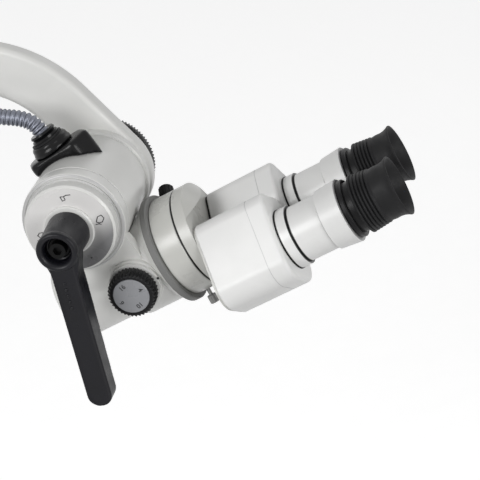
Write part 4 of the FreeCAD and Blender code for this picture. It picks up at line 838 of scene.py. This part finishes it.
@dataclass
class Conduit:
    """The corrugated steel conduit between the drum's gland and the arm."""

    route: tuple = (
        (104.78, -47.8, -64.31), (97.34, -47.8, -53.65), (86.0, -47.8, -49.5), (72.0, -47.3, -49.5),
        (57.5, -46.8, -48.5), (44.5, -44.5, -44.5), (34.8, -39.2, -36.5), (30.1, -31.0, -31.0),
        (30.1, -22.0, -31.0),
    )
    radius: float = 6.4
    groove: float = 1.5
    pitch: float = 3.6
    samples: int = 7
    sharpness: float = 0.6

    def centreline(self) -> list:
        """Gives close points along the route's smooth spline.

        Returns:
            The points, in metres.
        """
        curve = bpy.data.curves.new("conduit_route", "CURVE")
        curve.dimensions = "3D"
        curve.resolution_u = 60
        spline = curve.splines.new("NURBS")
        spline.points.add(len(self.route) - 1)
        for point, spot in zip(spline.points, self.route):
            point.co = tuple(part * MM for part in spot) + (1.0,)
        spline.order_u = 3
        spline.use_endpoint_u = True
        mesh = Workshop.flattened(curve)
        points = [vertex.co.copy() for vertex in mesh.vertices]
        bpy.data.meshes.remove(mesh)
        return points

    def spaced(self, points: list) -> tuple:
        """Spaces points evenly along a line, for whole rings.

        Args:
            points: the close points of the line, in metres.

        Returns:
            The spaced points, and the line's length.
        """
        lengths = [0.0]
        for before, after in zip(points, points[1:]):
            lengths.append(lengths[-1] + (after - before).length)
        total = lengths[-1]
        count = round(total / (self.pitch * MM)) * self.samples
        spots, index = [], 0
        for step in range(count + 1):
            reach = total * step / count
            while index < len(points) - 2 and lengths[index + 1] < reach:
                index += 1
            share = (reach - lengths[index]) / max(lengths[index + 1] - lengths[index], 1e-9)
            spots.append(points[index].lerp(points[index + 1], min(share, 1.0)))
        return spots, total

    def build(self) -> None:
        line, length = self.spaced(self.centreline())
        radii = []
        for index in range(len(line)):
            wave = 0.5 - 0.5 * math.cos(math.tau * index / self.samples)
            radii.append((self.radius - self.groove * (1.0 - wave ** self.sharpness)) * MM)
        mesh = Workshop.swept(line, radii)
        finish = TurnedMetal("conduit_steel", (0.19, 0.20, 0.235), line[0], ALONG, roughness=0.4)
        item = Workshop.piece("corrugated_conduit", mesh, finish, "carrier", "conduit_steel")
        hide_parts("conduit")
        LOG.info("conduit %.1f mm long", length / MM)


@dataclass
class Gland:
    """The moulded saddle and turret that lead the conduit into the drum."""

    rounding: tuple = (("gland_base", 0.9, 90), ("gland_turret", 0.7, 10))

    def build(self) -> None:
        """Makes both mouldings."""
        for node, voxel, rounds in self.rounding:
            Workshop.rounded(f"{node}_moulding", node, GLAND_PLASTIC, "carrier", "black_plastic",
                             voxel, rounds)


@dataclass
class FrictionWheel:
    """The finely ridged wheel behind the arm."""

    ridges: int = 88
    depth: float = 1.5
    profile: tuple = (
        (13.0, -65.8, 0.0), (37.6, -65.8, 0.1), (38.9, -66.3, 0.8), (39.5, -67.2, 1.0), (39.5, -77.4, 1.0),
        (38.9, -78.3, 0.8), (37.6, -78.8, 0.1), (28.5, -78.8, 0.0), (27.7, -76.8, 0.0), (27.0, -74.8, 0.0),
        (13.0, -74.8, 0.0),
    )

    def build(self) -> None:
        """Makes the wheel."""
        mesh = Workshop.ridged(self.profile, self.ridges, self.depth)
        item = Workshop.piece("ridged_wheel", mesh, BLACK_PLASTIC, "wheel", "black_plastic", DRUM_FRAME)
        Workshop.crease(item)
        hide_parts("tilt_wheel")


@dataclass
class Eyecups:
    """The two rubber eyecups: deep ribs, a straight neck and a flared lip."""

    axis_far: float = 30.96
    axis_rise: float = -24.21
    ribs: int = 6
    rib_start: float = 155.5
    rib_pitch: float = 2.65
    rib_radius: float = 22.7
    rib_taper: float = 0.3
    rib_depth: float = 2.1
    steps: int = 128
    cup: tuple = (
        (20.4, 172.4), (20.7, 175.5), (20.5, 179.0), (20.9, 182.0), (21.9, 184.8), (22.8, 186.4),
        (22.8, 187.1), (22.2, 187.3), (21.3, 186.7), (19.6, 184.0), (17.6, 181.0), (15.4, 176.6),
        (15.0, 175.4), (17.65, 175.4), (17.65, 155.4),
    )
    wave: tuple = ((0.0, 1.0), (0.14, 0.45), (0.3, 0.05), (0.5, 0.0), (0.7, 0.05), (0.86, 0.45))

    def profile(self) -> list:
        """Gives the closed profile: each rib as a round wave, then the cup.

        Returns:
            The (radius, height) points, in millimetres.
        """
        points = []
        for rib in range(self.ribs):
            start, crest = self.rib_start + rib * self.rib_pitch, self.rib_radius - rib * self.rib_taper
            for share, drop in self.wave:
                points.append((crest - drop * self.rib_depth, start + share * self.rib_pitch))
        return points + list(self.cup)

    def build(self) -> None:
        """Makes both eyecups."""
        for side in Side:
            middle = HEAD_CENTRE + (FAR * side.value * self.axis_far + RISE * self.axis_rise) * MM
            mesh = Workshop.spun(self.profile(), self.steps, close=True)
            item = Workshop.piece(f"{side.word}_ribbed_eyecup", mesh, RUBBER, f"{side.word}_ocular",
                                  "black_rubber", frame_on(middle, FAR, ALONG))
            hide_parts(f"{side.word}_eyecup")


@dataclass
class KnobRims:
    """The ridged rims of the two magnification knobs."""

    ridges: int = 38
    steps: int = 8
    depth: float = 1.4
    profile: tuple = (
        (4.2, 44.0, 0.0), (16.8, 44.0, 0.0), (17.8, 44.5, 0.7), (18.6, 45.6, 1.0), (18.6, 54.4, 1.0),
        (17.9, 55.7, 0.8), (16.8, 56.6, 0.3), (15.4, 57.0, 0.0), (14.1, 56.9, 0.0), (13.95, 56.4, 0.0),
        (13.95, 55.45, 0.0), (4.2, 55.45, 0.0),
    )

    def build(self) -> None:
        """Makes both rims as one piece."""
        mesh = bmesh.new()
        for side in Side:
            rim = Workshop.ridged(self.profile, self.ridges, self.depth, self.steps)
            place = frame_on(KNOB_CENTRE, UP, FAR * side.value)
            bmesh.ops.transform(rim, matrix=place, verts=rim.verts)
            Workshop.join(mesh, rim)
        item = Workshop.piece("ridged_knob_rims", mesh, BLACK_PLASTIC, "changer", "black_plastic")
        Workshop.crease(item)
        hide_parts("changer_knobs")


@dataclass
class SeamFillers:
    """The pale gaskets that close the seams of the prism boxes just below their surface."""

    start: float = 80.7
    length: float = 0.8
    shrink: float = 0.993

    def build(self) -> None:
        """Makes a gasket from the outline of each box at its seam."""
        for side in Side:
            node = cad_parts[f"{side.word}_prism_housing"]
            mesh = bmesh.new()
            mesh.from_mesh(node.data)
            bmesh.ops.transform(mesh, matrix=node.matrix_world, verts=mesh.verts)
            bmesh.ops.remove_doubles(mesh, verts=mesh.verts, dist=1e-6)
            where = HEAD_CENTRE + ALONG * self.start * MM
            bmesh.ops.bisect_plane(mesh, geom=mesh.verts[:] + mesh.edges[:] + mesh.faces[:], plane_co=where,
                                   plane_no=ALONG, clear_inner=True, clear_outer=True)
            middle = sum((vert.co for vert in mesh.verts), Vector()) / len(mesh.verts)
            for vert in mesh.verts:
                vert.co = middle + (vert.co - middle) * self.shrink
            made = bmesh.ops.extrude_edge_only(mesh, edges=mesh.edges[:])["geom"]
            bmesh.ops.translate(mesh, verts=[part for part in made if isinstance(part, bmesh.types.BMVert)],
                                vec=ALONG * self.length * MM)
            Workshop.piece(f"{side.word}_seam_gasket", mesh, BOX_WHITE, f"{side.word}_tube", "white_enamel")


@dataclass
class IndexDot:
    """The black dot beside the near knob, which the numbers are read against."""

    spot: tuple = (18.0, 9.6, 43.7)
    radius: float = 1.1

    def build(self) -> None:
        """Makes the dot as a low dome."""
        mesh = bmesh.new()
        bmesh.ops.create_uvsphere(mesh, u_segments=20, v_segments=10, radius=self.radius * MM)
        bmesh.ops.scale(mesh, verts=mesh.verts, vec=(1, 1, 0.3))
        bmesh.ops.translate(mesh, verts=mesh.verts, vec=Vector(self.spot) * MM)
        Workshop.piece("index_dot", mesh, INK, "head", "white_enamel",
                       frame_on(KNOB_CENTRE, RIGHT, TOWARDS))


@dataclass
class ClampLever:
    """The moulded clamp lever: hub with its ring, and the handle with its sunk face and studs."""

    hang: float = math.radians(12)
    back: float = 55.9
    hub: tuple = (
        (7.7, 0.0), (15.6, 0.0), (16.2, 0.7), (16.1, 3.0), (14.9, 31.0), (15.3, 32.0), (15.3, 35.0),
        (14.3, 36.4), (12.8, 36.6), (11.4, 35.9), (10.3, 34.4), (9.8, 33.0), (9.8, 27.0), (7.7, 27.0),
    )
    shoulder: tuple = (
        (-13.6, -5.0), (-11.4, -11.5), (-9.6, -17.0), (-9.4, -26.0), (9.4, -26.0), (10.2, -20.0),
        (12.6, -12.5), (14.4, -4.5), (11.8, -4.5), (8.4, -9.0), (0.0, -12.6), (-8.4, -9.0), (-11.8, -4.5),
    )
    shoulder_front: float = 33.6
    shoulder_back: float = 17.5
    handle_start: float = -11.0
    reach: float = 130.0
    front_width: float = 18.8
    back_width: float = 20.2
    front: float = 34.4
    root_depth: float = 17.4
    tip_depth: float = 13.5
    border: float = 2.4
    sink: float = 1.0
    voxel: float = 0.55
    rounds: int = 5
    stud_start: float = 26.0
    stud_pitch: float = 5.0
    stud_count: int = 5
    stud_radius: float = 1.35
    stud_place: float = -1.6

    def place(self) -> Matrix:
        """Gives the lever's own frame: Y away from the handle, Z towards the viewer."""
        across = Vector((math.cos(self.hang), 0, math.sin(self.hang)))
        return frame_on(station(self.back), across, TOWARDS)

    def handle(self) -> bmesh.types.BMesh:
        """Shapes the handle from a block: draft, taper, round tip and sunk face.

        Returns:
            The bmesh, in millimetres.
        """
        mesh = bmesh.new()
        length = self.reach + self.handle_start
        middle = Vector((0, self.handle_start - length / 2, self.front - self.root_depth / 2))
        size = Matrix.Diagonal((self.front_width, length, self.root_depth, 1))
        bmesh.ops.create_cube(mesh, size=1.0, matrix=Matrix.Translation(middle) @ size)
        low = [vert for vert in mesh.verts if vert.co.z < middle.z]
        bmesh.ops.scale(mesh, verts=low, vec=(self.back_width / self.front_width, 1, 1))
        tip = [vert for vert in low if vert.co.y < middle.y]
        bmesh.ops.translate(mesh, verts=tip, vec=(0, 0, self.root_depth - self.tip_depth))
        corners = [edge for edge in mesh.edges if all(vert.co.y < middle.y for vert in edge.verts)
                   and edge.verts[0].co.x * edge.verts[1].co.x > 0]
        bmesh.ops.bevel(mesh, geom=corners, offset=self.front_width / 2 - 0.3, segments=14, profile=0.5,
                        affect="EDGES", material=-1)
        top = max(mesh.faces, key=lambda face: face.calc_center_median().z)
        bmesh.ops.inset_region(mesh, faces=[top], thickness=self.border, depth=0.0, use_even_offset=True)
        bmesh.ops.translate(mesh, verts=list(top.verts), vec=(0, 0, -self.sink))
        return mesh

    def build(self) -> None:
        """Makes the lever as one soft moulding, with its studs."""
        shell = Workshop.spun(self.hub, close=True)
        handle = self.handle()
        bmesh.ops.scale(handle, verts=handle.verts, vec=(MM, MM, MM))
        Workshop.join(shell, handle)
        self.add_shoulder(shell)
        item = Workshop.piece("clamp_lever_moulding", shell, LEVER_PLASTIC, "lever_handle", "lever_plastic",
                              self.place())
        Workshop.soften(item, self.voxel, self.rounds)
        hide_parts("clamp_lever")
        self.add_studs()

    def add_shoulder(self, shell: bmesh.types.BMesh) -> None:
        """Adds the web that widens the handle into the ring.

        Args:
            shell: the hub's bmesh, in metres.
        """
        back = [shell.verts.new(Vector((x, y, self.shoulder_back)) * MM) for x, y in self.shoulder]
        front = [shell.verts.new(Vector((x, y, self.shoulder_front)) * MM) for x, y in self.shoulder]
        shell.faces.new(back)
        shell.faces.new(list(reversed(front)))
        for first in range(len(back)):
            second = (first + 1) % len(back)
            shell.faces.new((back[second], back[first], front[first], front[second]))

    def add_studs(self) -> None:
        """Adds the row of small studs on the handle's sunk face."""
        mesh = bmesh.new()
        for index in range(self.stud_count):
            reach = -self.stud_start - index * self.stud_pitch
            spot = Vector((self.stud_place, reach, self.front - self.sink - 0.1)) * MM
            ball = bmesh.ops.create_uvsphere(mesh, u_segments=16, v_segments=10,
                                             radius=self.stud_radius * MM)
            bmesh.ops.scale(mesh, verts=ball["verts"], vec=(1, 1, 0.75))
            bmesh.ops.translate(mesh, verts=ball["verts"], vec=spot)
        Workshop.piece("lever_studs", mesh, LEVER_PLASTIC, "lever_handle", "lever_plastic", self.place())


@dataclass
class DialMarks:
    """Generic line signs on the disc behind the lever."""

    face: float = 53.0
    line: float = 0.36
    signs: tuple = (
        ((-2.5, 24.5), ((-3.2, 1.4), (-1.4, -1.8), (0.6, -0.6), (-0.6, 1.8), (-3.2, 1.4)),
         ((-0.6, 1.8), (1.2, 3.0), (4.6, 3.6))),
        ((23.0, 9.5), ((-2.6, -2.0), (-1.6, 2.2), (1.2, 3.8), (3.2, 1.6), (2.0, -1.6), (-0.4, -2.6),
                       (-2.6, -2.0)),
         ((-3.2, -4.2), (-0.8, -3.4), (1.2, -3.6))),
        ((-22.5, -7.5), ((-2.0, 1.0), (-0.6, 3.2), (1.8, 3.8), (3.0, 1.2), (1.2, -1.4), (-2.0, 1.0)),
         ((-2.4, -3.2), (0.2, -2.6), (1.4, -4.2))),
        ((15.5, -22.0), ((-0.7, 0.0), (0.7, 0.0)), ((0.0, -0.7), (0.0, 0.7))),
    )

    def build(self) -> None:
        """Draws every sign as fine raised lines."""
        lines = [[(place[0] + x, place[1] + y) for x, y in stroke]
                 for place, *strokes in self.signs for stroke in strokes]
        Workshop.lines("dial_signs", lines, self.line, INK, "head", "dial_enamel",
                       frame_on(station(self.face), RIGHT, TOWARDS))


@dataclass
class KnobMarks:
    """Plain numbers on the scale discs of the two magnification knobs."""

    face: float = 57.1
    circle: float = 9.2
    height: float = 5.2
    numbers: tuple = (("16", 135.0), ("4", 40.0), ("10", -48.0), ("6", -140.0))

    def build(self) -> None:
        """Sets the numbers round both discs."""
        for side in Side:
            outward = FAR * side.value
            middle = KNOB_CENTRE + outward * self.face * MM
            place = frame_on(middle, UP.cross(outward), outward)
            mesh = bmesh.new()
            for text, angle in self.numbers:
                turn = math.radians(angle)
                spot = Vector((math.cos(turn), math.sin(turn), 0)) * self.circle * MM
                tilt = Matrix.Rotation(turn - math.pi / 2, 4, "Z")
                data = Workshop.letters(text, self.height * MM, 0.06 * MM)
                data.transform(Matrix.Translation(spot) @ tilt)
                mesh.from_mesh(data)
                bpy.data.meshes.remove(data)
            Workshop.piece(f"{side.word}_knob_numbers", mesh, INK, "changer", "black_plastic", place,
                           smooth=False)


@dataclass
class Studio:
    """The floor, the lamps, the world and the camera."""

    azimuth: float = math.radians(7.45)
    elevation: float = math.radians(26.04)
    distance: float = 0.96
    lens: float = 99.6
    sensor: float = 36.0
    target: Vector = field(default_factory=lambda: TILT_AXIS + Vector((126.1, -53.0, -0.45)) * MM)
    floor_drop: float = 0.42
    floor_tones: tuple = (0.44, 0.46)
    floor_glow: float = 0.75
    sky: float = 0.22
    lamps: tuple = (
        ("key_lamp", (-0.8, -1.1, 0.5), 0.6, 10.5),
        ("fill_lamp", (1.2, -0.95, 0.55), 0.8, 12.0),
        ("back_lamp", (0.3, 1.3, 1.1), 0.9, 2.0),
    )

    def build(self) -> None:
        """Makes the whole studio."""
        self.make_world()
        self.make_floor()
        for lamp in self.lamps:
            self.add_lamp(*lamp)
        self.place_camera()
        bpy.context.scene.view_settings.view_transform = "Standard"

    def make_world(self) -> None:
        """Makes a world that the camera and reflections see white, and that lights softly."""
        world = bpy.data.worlds.new("studio")
        bpy.context.scene.world = world
        world.use_nodes = True
        graph = Graph(world.node_tree)
        graph.tree.nodes.clear()
        strength = graph.span(graph.seen_rays(), self.sky, 1.0, 0.0, 1.0)
        back = graph.add("ShaderNodeBackground", {"Color": (1.0, 1.0, 1.0, 1.0), "Strength": strength})
        graph.add("ShaderNodeOutputWorld", {"Surface": back.outputs[0]})

    def make_floor(self) -> None:
        """Makes a wide pale floor that looks white but keeps the object's shadow."""
        mesh = bmesh.new()
        bmesh.ops.create_grid(mesh, x_segments=2, y_segments=2, size=9.0)
        bmesh.ops.translate(mesh, verts=mesh.verts, vec=(0.2, 0.0, TILT_AXIS.z - self.floor_drop))
        data = bpy.data.meshes.new("floor")
        mesh.to_mesh(data)
        mesh.free()
        graph = Surface("floor_paper")
        grain = graph.noise(graph.place(), 40.0)
        dark, pale = (shade((tone,) * 3, 1.0) for tone in self.floor_tones)
        graph.put("Base Color", graph.blend(
            graph.span(grain, 0.0, 1.0), dark, pale))
        graph.put("Roughness", 0.9)
        strength = graph.span(graph.seen_rays(), 0.0, self.floor_glow, 0.0, 1.0)
        glow = graph.add("ShaderNodeEmission", {"Strength": strength})
        both = graph.add("ShaderNodeAddShader", {0: graph.shader.outputs[0], 1: glow.outputs[0]})
        graph.feed(graph.output.inputs["Surface"], both.outputs[0])
        data.materials.append(graph.material)
        placed("floor", data)

    def add_lamp(self, name: str, offset: Sequence[float], size: float, power: float) -> None:
        """Adds a square area lamp that faces the object.

        Args:
            name: the lamp's name.
            offset: its place from the object's middle, in metres.
            size: its side, in metres.
            power: its power, in watts.
        """
        light = bpy.data.lights.new(name, "AREA")
        light.size = size
        light.energy = power
        lamp = placed(name, light)
        lamp.location = self.target + Vector(offset)
        lamp.rotation_euler = (self.target - lamp.location).to_track_quat("-Z", "Y").to_euler()

    def place_camera(self) -> None:
        """Puts the camera at the photograph's angle."""
        data = bpy.data.cameras.new("camera")
        data.lens = self.lens
        data.sensor_width = data.sensor_height = self.sensor
        data.clip_start = 0.05
        camera = placed("camera", data)
        back = Vector((math.sin(self.azimuth) * math.cos(self.elevation),
                       -math.cos(self.azimuth) * math.cos(self.elevation), math.sin(self.elevation)))
        camera.location = self.target + back * self.distance
        camera.rotation_euler = (-back).to_track_quat("-Z", "Y").to_euler()
        bpy.context.scene.camera = camera


def main() -> None:
    """Dresses the nodes and builds each sub-assembly and the studio."""
    logging.basicConfig(level=logging.INFO, format="%(name)s: %(message)s")
    FramedNodes().dress()
    Conduit().build()
    Gland().build()
    FrictionWheel().build()
    Eyecups().build()
    KnobRims().build()
    SeamFillers().build()
    ClampLever().build()
    IndexDot().build()
    DialMarks().build()
    KnobMarks().build()
    Studio().build()


if __name__ == "__main__":
    main()
